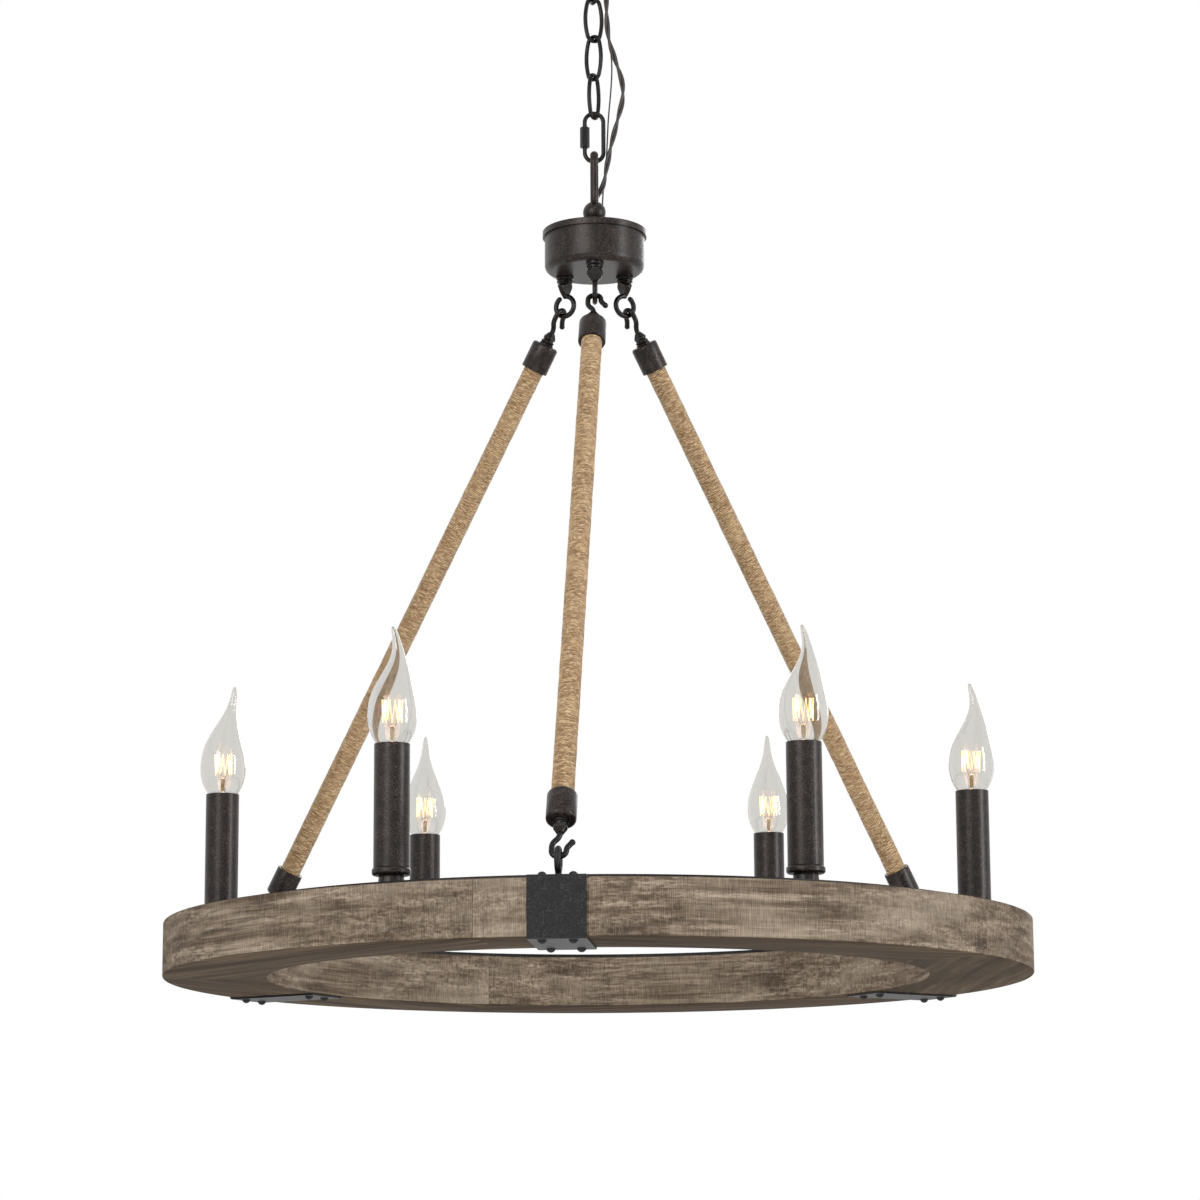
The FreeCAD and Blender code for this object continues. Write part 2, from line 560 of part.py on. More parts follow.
# How far each rope's upper and lower hook is turned about the rope: the tips
# of open hooks point whichever way they were hung.
HOOK_TURNS = {"front": (180, 180), "left": (0, 0), "right": (180, 0)}
flip = FreeCAD.Rotation(V(1, 0, 0), 180)
for (side, strap_azimuth), (_, hub_azimuth) in zip(STRAPS, HUB_HOOKS):
    frame = rope_frame(hub_azimuth, strap_azimuth)
    length = size("rope_visible") + 2 * size("rope_in_cap")
    first = reach + cap_len - size("rope_in_cap")
    rope = make("Part::Cylinder", "rope_" + side, Radius="rope_diameter/2",
                Height="rope_visible + 2*rope_in_cap")
    rope.Placement = FreeCAD.Placement(frame.multVec(V(0, 0, first)), frame.Rotation)
    nodes.append(rope)
    for make_piece, label in ((rope_cap, "rope_caps_"), (rope_hook, "rope_hooks_")):
        upper = make_piece(size("hub_hook_wire"))
        high_turn, low_turn = (FreeCAD.Rotation(V(0, 0, 1), turn) for turn in HOOK_TURNS[side])
        upper.Placement = FreeCAD.Placement(V(0, 0, span - reach), high_turn)
        lower = make_piece(size("eye_wire"))
        lower.Placement = FreeCAD.Placement(V(0, 0, reach), flip.multiply(low_turn))
        nodes.append(feature(label + side, Part.makeCompound([upper, lower]), frame))

# ---------------------------------------------------------------------- hoop
SEGMENTS = 5
for number in range(SEGMENTS):
    blank = make("Part::Cylinder", "segment_blank_%d" % (number + 1), Radius="hoop_radius",
                 Height="hoop_height")
    blank.Angle = 360 / SEGMENTS
    core = make("Part::Cylinder", "segment_core_%d" % (number + 1), Radius="hoop_inner_radius",
                Height="hoop_height + 2", z="-1")
    piece = cut("hoop_segment_%d" % (number + 1), blank, core)
    piece.Placement = towards(size("seam_turn") + number * 360 / SEGMENTS, at("hoop_bottom"))
    nodes.append(piece)

channel_blank = ring("channel_blank", "channel_outer_radius", "channel_inner_radius",
                     "channel_height", "hoop_top")
channel_room = ring("channel_room", "channel_outer_radius - channel_sheet",
                    "channel_inner_radius + channel_sheet", "channel_height - channel_sheet + 1", "hoop_top - 1")
channel_tools = [channel_room]
for side, azimuth in STRAPS:
    notch = make("Part::Box", "channel_notch_" + side, Length="channel_outer_radius",
                 Width="strap_width + 2*notch_margin", Height="strap_sheet + 0.3 + 1")
    notch.Placement = towards(azimuth, at("hoop_top") - 1)
    offset = notch.Placement.Rotation.multVec(V(0, -size("strap_width") / 2 - size("notch_margin"), 0))
    notch.Placement.Base = notch.Placement.Base + offset
    channel_tools.append(notch)
candle_azimuths = (30, 90, 150, -150, -90, -30)
for number, azimuth in enumerate(candle_azimuths, start=1):
    channel_tools.append(make("Part::Cylinder", "channel_hole_%d" % number, Radius="cup_bore_radius",
                              Height="channel_height + 2", z="hoop_top - 1",
                              x="candle_circle*sin(%s)" % azimuth, y="-candle_circle*cos(%s)" % azimuth))
nodes.append(cut("wire_channel", channel_blank, fuse("channel_openings", *channel_tools)))

# Each strap is a C of sheet steel over the hoop's outer face, top and bottom.
screw_spots = [(r, s) for r in ("screw_outer_row", "screw_inner_row") for s in (-1, 1)]
for side, azimuth in STRAPS:
    shell = make("Part::Box", "strap_shell_" + side, Length="hoop_radius + strap_sheet - hoop_inner_radius",
                 Width="strap_width", Height="hoop_height + 2*strap_sheet",
                 x="hoop_inner_radius", y="-strap_width/2", z="-hoop_height - strap_sheet")
    bent = doc.addObject("Part::Fillet", "strap_bent_" + side)
    bent.Base = shell
    doc.recompute()
    bends = [i for i, e in enumerate(shell.Shape.Edges, start=1)
             if abs(e.CenterOfMass.x - size("hoop_radius") - size("strap_sheet")) < 1e-6
             and abs(e.CenterOfMass.y) < 1e-6]
    bent.Edges = [(i, size("strap_bend"), size("strap_bend")) for i in bends]
    room = make("Part::Box", "strap_room_" + side, Length="hoop_radius - hoop_inner_radius + 1",
                Width="strap_width + 2", Height="hoop_height",
                x="hoop_inner_radius - 1", y="-strap_width/2 - 1", z="-hoop_height")
    tools = [room]
    for number, (row_radius, sign) in enumerate(screw_spots):
        tools.append(make("Part::Cylinder", "strap_hole_%s_%d" % (side, number),
                          Radius="screw_radius + screw_hole_play",
                          Height="hoop_height + 2*strap_sheet + 2", x=row_radius,
                          y="%d*screw_pitch/2" % sign, z="-hoop_height - strap_sheet - 1"))
    tools.append(make("Part::Cylinder", "strap_eye_hole_" + side, Radius="eye_wire/2",
                      Height="strap_sheet + 2", x="eye_circle", z="-1"))
    strap = cut("strap_" + side, bent, fuse("strap_openings_" + side, *tools))
    strap.Placement = towards(azimuth, at("hoop_top"))
    nodes.append(strap)

# Screw eyes: a ring standing in the radial plane on a stem into the wood.
for side, azimuth in STRAPS:
    torus = make("Part::Torus", "eye_torus_" + side, Radius1="eye_ring", Radius2="eye_wire/2",
                 z="eye_rise")
    torus.Placement.Rotation = FreeCAD.Rotation(V(1, 0, 0), 90)
    stem = make("Part::Cylinder", "eye_stem_" + side, Radius="eye_wire/2",
                Height="eye_stem + eye_rise - eye_ring", z="-eye_stem")
    eye = fuse("strap_eye_" + side, torus, stem)
    eye.Placement = towards(azimuth, at("hoop_top"), at("eye_circle"))
    nodes.append(eye)

# Domed screws, four above and four below in each strap.
screws = []
head_r, head_h = size("screw_head_radius"), size("screw_head_height")
dome_r = (head_r ** 2 + head_h ** 2) / (2 * head_h)
dome = Part.makeSphere(dome_r, V(0, 0, head_h - dome_r)).common(
    Part.makeCylinder(head_r, head_h + 1, V(0, 0, 0)))
screw = dome.fuse(Part.makeCylinder(size("screw_radius"), size("screw_length"),
                                    V(0, 0, -size("screw_length")))).removeSplitter()
for side, azimuth in STRAPS:
    for row_radius, sign in screw_spots:
        for face in (1, -1):
            one = screw.copy()
            if face < 0:
                one.rotate(V(0, 0, 0), V(1, 0, 0), 180)
            z = size("strap_sheet") if face > 0 else -size("hoop_height") - size("strap_sheet")
            one.translate(V(at(row_radius), sign * size("screw_pitch") / 2, z))
            one.Placement = towards(azimuth, at("hoop_top")).multiply(one.Placement)
            screws.append(one)
nodes.append(feature("strap_screws", Part.makeCompound(screws)))


# ------------------------------------------------------------------- candles
def around(label, master, turn=0.0):
    """Copies of one piece at the six candle positions, in one node."""
    copies = []
    for azimuth in candle_azimuths:
        one = master.copy()
        one.Placement = towards(azimuth, 0.0, at("candle_circle")).multiply(one.Placement)
        copies.append(one)
    return feature(label, Part.makeCompound(copies))


doc.recompute()
foot = "channel_height"
cup = lathe("cup_master", [
    ("cup_bore_radius", foot),
    ("cup_foot_radius", foot),
    ("cup_neck_radius", "cup_neck_top"),
    ("bead_radius", "cup_neck_top"),
    ("bead_radius", "bead_top"),
    ("cup_bore_radius", "bead_top"),
], "hoop_top", rounds=[("bead_round", [(size("bead_radius"), size("cup_neck_top")),
                                       (size("bead_radius"), size("bead_top"))])])
sleeve = ring("sleeve_master", "sleeve_radius", "sleeve_radius - sleeve_wall", "sleeve_length", "sleeve_foot")
holder_top = "sleeve_top - holder_below_rim"
holder = lathe("holder_master", [
    ("0", "hoop_top + channel_height"),
    ("cup_bore_radius", "hoop_top + channel_height"),
    ("cup_bore_radius", "sleeve_foot"),
    ("holder_stem_radius", "sleeve_foot"),
    ("holder_stem_radius", "sleeve_top - base_length - holder_floor"),
    ("holder_radius", "sleeve_top - base_length - holder_floor"),
    ("holder_radius", holder_top),
    ("base_radius + base_play", holder_top),
    ("base_radius + base_play", "sleeve_top - base_length"),
    ("0", "sleeve_top - base_length"),
], "0")
doc.recompute()
nodes.append(around("candle_cups", cup.Shape))
nodes.append(around("candle_sleeves", sleeve.Shape))
nodes.append(around("candle_holders", holder.Shape))


def glass_profile(height):
    """Outer radius of the bulb at a height above the sleeve's rim."""
    full, neck = size("glass_radius"), size("glass_neck_radius")
    table = [(-2, neck), (0, neck + 0.2), (3, full * 0.745), (8, full * 0.885), (14, full * 0.975),
             (20, full), (28, full * 0.965), (36, full * 0.855), (44, full * 0.685), (52, full * 0.5),
             (58, full * 0.36), (64, full * 0.25), (70, full * 0.185), (76, full * 0.145)]
    for (h0, r0), (h1, r1) in zip(table, table[1:]):
        if h0 <= height <= h1:
            return r0 + (r1 - r0) * (height - h0) / (h1 - h0)
    return full * 0.125


def bulb_shape(lean, curl, thinner, top):
    """A loft of circles up the bulb; its upper taper leans and curls sideways along X."""
    heights = [-2, 0, 3, 8, 14, 20, 28, 36, 44, 52, 58, 64, 70, 76, size("glass_length") - 1.5]
    rings = []
    for height in [h for h in heights if h <= top]:
        t = max(0.0, (height - 36.0) / (size("glass_length") - 36.0))
        shift = curl * (3 * t ** 2 - 2 * t ** 3) + lean * math.sin(math.pi * t ** 1.2)
        radius = max(glass_profile(height) - thinner, 0.4)
        edge = Part.Circle(V(shift, 0, height), V(0, 0, 1), radius).toShape()
        rings.append(Part.Wire([edge]))
    return Part.makeLoft(rings, True, False)


BENDS = {  # bulb: (direction of its lean in degrees from +X, lean, curl)
    1: (0, "tip_lean", 0.0), 2: (0, "tip_lean", 0.0), 3: (90, None, 0.6),
    4: (90, None, 0.6), 5: (0, None, 1.0), 6: (0, "tip_lean", 0.0),
}
for number, azimuth in enumerate(candle_azimuths, start=1):
    direction, lean, share = BENDS[number]
    lean = size(lean) if lean else 0.0
    curl = share * size("tip_offset")
    glass = bulb_shape(lean, curl, 0.0, 100).cut(bulb_shape(lean, curl, size("glass_wall"), 58))
    spot = towards(azimuth, at("sleeve_top"), at("candle_circle")).Base
    where = FreeCAD.Placement(spot, FreeCAD.Rotation(V(0, 0, 1), direction))
    nodes.append(feature("bulb_glass_%d" % number, glass, where))
    start, flare = size("glass_start"), size("base_flare_height")
    metal = Part.makeCylinder(size("base_radius"), size("base_length") - start - flare - 0.15,
                              V(0, 0, -size("base_length") + 0.15))
    metal = metal.fuse([
        Part.makeCone(size("base_radius"), size("base_flare_radius"), flare, V(0, 0, -start - flare)),
        Part.makeCylinder(size("stem_glass_radius"), size("stem_glass_length") + start, V(0, 0, -start)),
    ]).removeSplitter()
    nodes.append(feature("bulb_base_%d" % number, metal, where))


# -------------------------------------------------------------------- wiring
def cord(label, points, diameter):
    """A round tube along straight runs joined by tangent arcs."""
    spots = [V(*p) for p in points]
    runs = [(b - a).Length for a, b in zip(spots, spots[1:])]
    edges, radii, here = [], [], spots[0]
    for i in range(1, len(spots) - 1):
        before = (spots[i] - spots[i - 1]).normalize()
        after = (spots[i + 1] - spots[i]).normalize()
        turn = before.getAngle(after)
        trim = 0.45 * min(runs[i - 1], runs[i])
        radius = trim / math.tan(turn / 2)
        radii.append(radius)
        enter, leave = spots[i] - before * trim, spots[i] + after * trim
        inward = (after - before).normalize()
        middle = spots[i] + inward * (radius / math.cos(turn / 2) - radius)
        edges.append(Part.LineSegment(here, enter).toShape())
        edges.append(Part.Arc(enter, middle, leave).toShape())
        here = leave
    edges.append(Part.LineSegment(here, spots[-1]).toShape())
    wire = Part.Wire(edges)
    first = (spots[1] - spots[0]).normalize()
    ring_edge = Part.Circle(spots[0], first, diameter / 2).toShape()
    tube = wire.makePipeShell([Part.Wire([ring_edge])], True, False)
    expected = math.pi * diameter ** 2 / 4 * wire.Length
    print(label, "length %.1f" % wire.Length, "volume %.4f of section times length" % (tube.Volume / expected),
          "radii", " ".join("%.0f" % r for r in radii))
    return feature(label, tube)


# The cord leaves the ball under the hub's loop, bows out to the right, and
# runs up beside the chain into the collar. Heights are given from the drum's
# lid, so that it follows the hub and keeps its shape.
top, hang = lid_z - 543.5, at("nipple_bottom")
CORD = [
    (0, 0, 558), (0, 0, 569.5), (7.2, -0.6, 580), (9.9, -1.6, 597), (14, -2, 616.5), (19, -2, 636),
    (23.4, -2.2, 653.5), (22.2, -2.6, 668), (16.6, -3, 684.5), (12.2, -3.3, 698.5), (10.5, -3.7, 713),
    (10.3, -4.2, 731), (9.6, -5.2, 748), (7.6, -6.9, 764), (3.4, -4.2, 776.5), (0, 0, 788),
]
cord_points = [(x, y, z + top) for x, y, z in CORD] + [(0, 0, hang + 2)]
nodes.append(cord("supply_cord", cord_points, size("cord_diameter")))
EARTH = [
    (6.2, 3.6, 565.4), (6.9, 4.2, 580), (9.3, 4.1, 599), (10.4, 3.9, 618), (11.2, 3.4, 637),
    (13.0, 2.6, 655), (14.3, 1.6, 672), (14.2, 0.6, 688), (12.2, 0.2, 702),
]
nodes.append(cord("earth_wire", [(x, y, z + top) for x, y, z in EARTH], size("earth_diameter")))

# --------------------------------------------------------------------- checks
doc.recompute()
for obj in doc.Objects:
    if "Invalid" in obj.State or "Error" in obj.State:
        raise RuntimeError("%s is in state %s" % (obj.Label, obj.State))
os.makedirs("parts", exist_ok=True)
labels = [obj.Label for obj in nodes]
if len(set(labels)) != len(labels) or len(labels) > 60:
    raise RuntimeError("node names repeat or are too many")
for obj in nodes:
    shape = obj.Shape
    if shape.isNull() or not shape.isValid() or not shape.Solids:
        raise RuntimeError("%s has no valid solid" % obj.Label)
    for solid in shape.Solids:
        if solid.Volume <= 0:
            raise RuntimeError("%s has an empty solid" % obj.Label)
for obj in nodes:
    obj.Shape.exportStep("parts/%s.step" % obj.Label)
print(len(nodes), "nodes written; hoop top at", round(at("hoop_top"), 3))
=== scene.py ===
# %% [markdown]
# # A hoop light on three ropes
#
# The real thing is a flat wooden hoop that hangs on three jute ropes from a
# metal hub and a short chain. The metal skeleton comes ready from CAD. This
# lesson dresses it: wood, wound jute, blown glass, a twisted supply cord, and
# the finishes. Everything is in metres, and the origin is on the ceiling.

# %% Load the frame
import json
import math
import random

import bmesh
import bpy
from mathutils import Matrix, Vector
from mathutils import noise as lumps


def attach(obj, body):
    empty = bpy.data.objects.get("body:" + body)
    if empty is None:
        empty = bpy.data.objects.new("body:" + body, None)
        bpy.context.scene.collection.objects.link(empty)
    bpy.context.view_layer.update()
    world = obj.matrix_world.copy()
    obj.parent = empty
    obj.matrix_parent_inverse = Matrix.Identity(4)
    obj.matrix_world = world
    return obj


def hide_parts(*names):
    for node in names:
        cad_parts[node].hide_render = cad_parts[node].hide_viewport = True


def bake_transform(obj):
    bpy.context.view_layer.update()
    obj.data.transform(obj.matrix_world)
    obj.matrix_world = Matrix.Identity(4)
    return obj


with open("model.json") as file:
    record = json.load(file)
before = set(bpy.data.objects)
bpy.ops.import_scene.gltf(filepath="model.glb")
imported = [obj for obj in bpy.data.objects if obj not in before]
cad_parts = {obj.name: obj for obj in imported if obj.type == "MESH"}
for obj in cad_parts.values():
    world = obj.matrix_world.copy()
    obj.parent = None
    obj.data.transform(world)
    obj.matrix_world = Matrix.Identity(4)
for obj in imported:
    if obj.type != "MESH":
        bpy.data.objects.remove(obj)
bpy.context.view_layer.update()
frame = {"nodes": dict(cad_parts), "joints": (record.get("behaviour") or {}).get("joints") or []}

# %% [markdown]
# ## Sizes that the pieces share
#
# The camera, the hoop, the ropes and the bulbs all hang on a few numbers. They
# are the same ones that the CAD source uses, so a piece that replaces a CAD
# node lands exactly where that node was. Azimuths are in degrees: 0 is the
# viewer's side and 90 the right.

# %% Shared sizes
MM = 0.001
FULL_TURN = 2 * math.pi
HOOP_TOP = -822.045 * MM
HOOP_HEIGHT = 40 * MM
HOOP_OUTER, HOOP_INNER = 325 * MM, 247.5 * MM
HOOK_RING_Z, HOOK_CIRCLE = -335 * MM, 27 * MM
EYE_RING_Z, EYE_CIRCLE, EYE_RING = HOOP_TOP + 12.5 * MM, 312 * MM, 7.25 * MM
SLEEVE_TOP = HOOP_TOP + 101 * MM
CANDLE_CIRCLE = 284 * MM
# Each rope's azimuth at the hub's hook and at the hoop's eye.
SIDES = {"front": (0, -4.97), "left": (-120, -120.6), "right": (120, 122.8)}
CANDLES = (30, 90, 150, -150, -90, -30)


def outward(azimuth):
    """The unit direction of an azimuth."""
    a = math.radians(azimuth)
    return Vector((math.sin(a), -math.cos(a), 0))


def in_scene(name, data):
    """An object that holds some data, linked to the scene."""
    thing = bpy.data.objects.new(name, data)
    bpy.context.scene.collection.objects.link(thing)
    return thing


print("hoop from", HOOP_TOP - HOOP_HEIGHT, "to", HOOP_TOP)

# %% [markdown]
# ## Camera
#
# The photograph looks slightly up at the light from about 2.7 m with a long
# lens. The place, tilt and lens were fitted to the hoop's edges, the candles
# and the hub. A camera looks along its own -Z, so its matrix has the right
# direction, the up direction and the backward direction as columns.

# %% Camera
CAMERA_AT = Vector((-6.43, -2664.94, -273.68)) * MM + Vector((0, 0, HOOP_TOP))
PITCH, YAW, ROLL = math.radians(11.119), math.radians(0.197), math.radians(-0.30)
FOCAL_PIXELS, FRAME_PIXELS = 3544.5, 1200
SENSOR = 36.0

ahead = Vector((math.sin(YAW) * math.cos(PITCH), math.cos(YAW) * math.cos(PITCH), math.sin(PITCH)))
level = Vector((math.cos(YAW), -math.sin(YAW), 0))
upright = level.cross(ahead)
right = math.cos(ROLL) * level + math.sin(ROLL) * upright
up = -math.sin(ROLL) * level + math.cos(ROLL) * upright

camera_data = bpy.data.cameras.new("camera")
camera_data.lens = SENSOR * FOCAL_PIXELS / FRAME_PIXELS
camera_data.sensor_width = SENSOR
camera = in_scene("camera", camera_data)
axes = Matrix((right, up, -ahead)).transposed().to_4x4()
camera.matrix_world = Matrix.Translation(CAMERA_AT) @ axes
bpy.context.scene.camera = camera
print("lens", round(camera_data.lens, 1), "mm")

# %% [markdown]
# ## Studio
#
# The background is pure white, but the light on the object has to stay at a
# plain level. So the sky is white only to rays that come from the camera,
# mirror off metal or pass through glass, and a dimmer white to everything
# else. The floor far below is an ordinary pale surface, so it keeps the
# light's shadow. Wide softboxes give the long soft highlights on the drum and
# the candle sleeves. They show in reflections, but never straight or through
# glass, because they stand outside the picture.

# %% White room
SKY_COLOUR, SKY_STRENGTH = (1.0, 0.985, 0.96, 1), 0.78
FLOOR_Z, FLOOR_HALF = -2.3, 6


def shown_white(tree, ordinary):
    """Mixes a shader with plain white for camera, glossy and transmission rays."""
    rays = tree.nodes.new("ShaderNodeLightPath")
    seen = rays.outputs["Is Camera Ray"]
    for kind in ("Is Glossy Ray", "Is Transmission Ray"):
        either = tree.nodes.new("ShaderNodeMath")
        either.operation = "MAXIMUM"
        tree.links.new(seen, either.inputs[0])
        tree.links.new(rays.outputs[kind], either.inputs[1])
        seen = either.outputs[0]
    white = tree.nodes.new("ShaderNodeEmission")
    mix = tree.nodes.new("ShaderNodeMixShader")
    tree.links.new(seen, mix.inputs["Fac"])
    tree.links.new(ordinary, mix.inputs[1])
    tree.links.new(white.outputs[0], mix.inputs[2])
    return mix.outputs[0]


world = bpy.data.worlds.new("studio")
bpy.context.scene.world = world
world.use_nodes = True
sky = world.node_tree
backdrop = sky.nodes["Background"]
backdrop.inputs["Color"].default_value = SKY_COLOUR
backdrop.inputs["Strength"].default_value = SKY_STRENGTH
sky.links.new(shown_white(sky, backdrop.outputs[0]), sky.nodes["World Output"].inputs[0])

floor_mesh = bmesh.new()
bmesh.ops.create_grid(floor_mesh, x_segments=1, y_segments=1, size=FLOOR_HALF)
bmesh.ops.translate(floor_mesh, verts=floor_mesh.verts, vec=(0, 0, FLOOR_Z))
floor_data = bpy.data.meshes.new("floor")
floor_mesh.to_mesh(floor_data)
floor_mesh.free()
floor = in_scene("floor", floor_data)
floor_paint = bpy.data.materials.new("floor")
floor_paint.use_nodes = True
paint = floor_paint.node_tree.nodes["Principled BSDF"]
paint.inputs["Base Color"].default_value = (0.95, 0.95, 0.94, 1)
paint.inputs["Roughness"].default_value = 0.9
floor_data.materials.append(floor_paint)


def softbox(name, place, aim, size, power, tint=(1, 1, 1)):
    data = bpy.data.lights.new(name, "AREA")
    data.shape = "RECTANGLE"
    data.size, data.size_y = size
    data.energy, data.color = power, tint
    lamp = in_scene(name, data)
    lamp.location = place
    lamp.rotation_euler = (Vector(aim) - Vector(place)).to_track_quat("-Z", "Y").to_euler()
    lamp.visible_camera = lamp.visible_transmission = False


softbox("key", (-1.3, -2.4, 0.2), (0, 0, -0.7), (1.3, 1.3), 36, (1, 0.97, 0.93))
softbox("side", (2.3, -1.0, -0.3), (0, 0, -0.6), (0.5, 1.6), 38)
softbox("rim", (0.6, 2.4, 0.2), (0, 0, -0.6), (1.6, 1.0), 14)
softbox("low", (-0.4, -1.4, -1.9), (0, 0, -0.8), (1.2, 0.8), 7)
print("studio lit")

# %% [markdown]
# ## A small kit for materials
#
# Every finish here is a Principled shader with a few texture nodes in front
# of it. `put` adds a node and fills its sockets from names or numbers, so that
# the recipes below read like recipes. Patterns use Object coordinates: the
# pieces sit at the origin, so these are real metres on the light.


# %% Material kit
def new_finish(name, **sockets):
    """A material and its tree, with the shader's own sockets set."""
    finish = bpy.data.materials.new(name)
    finish.use_nodes = True
    shader = finish.node_tree.nodes["Principled BSDF"]
    for socket, value in sockets.items():
        shader.inputs[socket.replace("_", " ")].default_value = value
    return finish, finish.node_tree, shader


def put(tree, kind, settings=None, **sockets):
    """Adds a node. A socket named s0, s1 … is taken by its number."""
    node = tree.nodes.new("ShaderNode" + kind)
    for name, value in (settings or {}).items():
        setattr(node, name, value)
    for name, value in sockets.items():
        if name[0] == "s" and name[1:].isdigit():
            socket = node.inputs[int(name[1:])]
        else:
            socket = node.inputs[name.replace("_", " ")]
        if isinstance(value, bpy.types.NodeSocket):
            tree.links.new(value, socket)
        else:
            socket.default_value = value
    return node


def sums(tree, operation, one, other=0.0):
    return put(tree, "Math", {"operation": operation}, s0=one, s1=other).outputs[0]


def scaled(tree, vector, scale):
    return put(tree, "VectorMath", {"operation": "MULTIPLY"}, s0=vector, s1=scale).outputs[0]


def stretched(tree, scale=(1, 1, 1), turn=0.0, shift=(0, 0, 0)):
    """Object coordinates, turned about Z, moved and scaled."""
    where = put(tree, "TexCoord").outputs["Object"]
    turned = put(tree, "VectorRotate", {"rotation_type": "Z_AXIS"}, Vector=where, Angle=turn)
    moved = put(tree, "VectorMath", {"operation": "ADD"}, s0=turned.outputs[0], s1=shift)
    return scaled(tree, moved.outputs[0], scale)


def noise(tree, vector, scale=1.0, detail=3.0, roughness=0.55):
    return put(tree, "TexNoise", Vector=vector, Scale=scale, Detail=detail,
               Roughness=roughness).outputs["Fac"]


def ramp(tree, value, stops):
    """A colour ramp from (place, colour) stops; a number stands for a grey."""
    node = put(tree, "ValToRGB", Fac=value)
    for i, (place, colour) in enumerate(stops):
        stop = node.color_ramp.elements[i] if i < 2 else node.color_ramp.elements.new(place)
        grey = isinstance(colour, (int, float))
        stop.position = place
        stop.color = (colour, colour, colour, 1) if grey else (*colour, 1)
    return node.outputs["Color"]


def blend_colours(tree, share, one, other):
    """Mixes two colours. Of this node's inputs, 6 and 7 are the colours."""
    node = put(tree, "Mix", {"data_type": "RGBA"}, s0=share)
    for number, value in ((6, one), (7, other)):
        if isinstance(value, bpy.types.NodeSocket):
            tree.links.new(value, node.inputs[number])
        else:
            node.inputs[number].default_value = (*value, 1)
    return node.outputs[2]


def glaze(tree, pattern, stops, under, over):
    """Lays one colour over another wherever a pattern's ramp says so."""
    return blend_colours(tree, ramp(tree, pattern, stops), under, over)


def spread(tree, pattern, low, high, socket):
    """Drives a socket between two values by a pattern."""
    spaced = put(tree, "MapRange", Value=pattern, To_Min=low, To_Max=high)
    tree.links.new(spaced.outputs[0], socket)


def rough_surface(tree, shader, height, distance, strength=1.0):
    bump = put(tree, "Bump", Height=height, Distance=distance, Strength=strength)
    tree.links.new(bump.outputs[0], shader.inputs["Normal"])


def dimmed(colour, share):
    return tuple(c * share for c in colour)


print("kit ready")

# %% [markdown]
# ## Metal finishes
#
# The drum, the canopy and the candle sleeves wear a dark bronze powder coat:
# nearly black, with a fine reddish speckle and a soft sheen. The straps are a
# cooler slate black. The chain and the hooks are smoother and blacker. One
# recipe covers all three: a base, a speckle at two grain sizes, and a bump.


# %% Powder coats
def powder_coat(name, dark, speck, roughness, grain, metallic, coat, speckle):
    """A dark coat; grain is the width of a speck, speckle how strongly specks show."""
    finish, tree, shader = new_finish(name, Metallic=metallic, Specular_IOR_Level=0.2,
                                     Coat_Weight=coat, Coat_Roughness=0.25)
    fine = noise(tree, stretched(tree), 1 / grain, 4, 0.7)
    broad = noise(tree, stretched(tree), 0.14 / grain, 3, 0.6)
    dots = ramp(tree, fine, [(0.48, 0.0), (0.60, 1.0)])
    patches = ramp(tree, broad, [(0.35, 0.3), (0.62, 1.0)])
    share = sums(tree, "MULTIPLY", sums(tree, "MULTIPLY", dots, patches), speckle)
    tree.links.new(blend_colours(tree, share, dark, speck), shader.inputs["Base Color"])
    spread(tree, fine, roughness - 0.09, roughness + 0.12, shader.inputs["Roughness"])
    rough_surface(tree, shader, fine, 0.16 * MM, 0.8)
    return finish


bronze = powder_coat("bronze_coat", (0.0055, 0.0043, 0.0040), (0.068, 0.046, 0.039),
                     roughness=0.31, grain=0.95 * MM, metallic=0.1, coat=0.08, speckle=1.0)
slate = powder_coat("slate_coat", (0.0055, 0.0055, 0.007), (0.034, 0.031, 0.032),
                    roughness=0.44, grain=1.2 * MM, metallic=0.05, coat=0.0, speckle=0.9)
black = powder_coat("black_coat", (0.0035, 0.003, 0.003), (0.022, 0.015, 0.013),
                    roughness=0.24, grain=1.0 * MM, metallic=0.1, coat=0.1, speckle=0.5)
print("powder coats:", bronze.name, slate.name, black.name)

# %% [markdown]
# ## Small finishes
#
# The ceiling bar is zinc plated with a faint drawn grain, the lamp bases are
# brass with a dull cast, the lamp holders are an off-white plastic that has
# yellowed a little, and the earth screw is green as the wiring rules ask.


# %% Plated, brass, plastic
def drawn_metal(name, colour, roughness, along):
    finish, tree, shader = new_finish(name, Metallic=1.0)
    lines = noise(tree, stretched(tree, along), 1.0, 3)
    cloudy = noise(tree, stretched(tree), 60, 3)
    tone = ramp(tree, lines, [(0.3, dimmed(colour, 0.75)), (0.7, colour)])
    tone = blend_colours(tree, cloudy, tone, dimmed(colour, 0.8))
    tree.links.new(tone, shader.inputs["Base Color"])
    spread(tree, lines, roughness - 0.08, roughness + 0.1, shader.inputs["Roughness"])
    rough_surface(tree, shader, lines, 0.02 * MM, 0.4)
    return finish


def moulded(name, colour, roughness):
    finish, tree, shader = new_finish(name)
    mottle = noise(tree, stretched(tree), 180, 4)
    tone = ramp(tree, mottle, [(0.3, dimmed(colour, 0.86)), (0.7, colour)])
    tree.links.new(tone, shader.inputs["Base Color"])
    spread(tree, mottle, roughness - 0.05, roughness + 0.1, shader.inputs["Roughness"])
    rough_surface(tree, shader, noise(tree, stretched(tree), 2500, 2), 0.02 * MM, 0.3)
    return finish


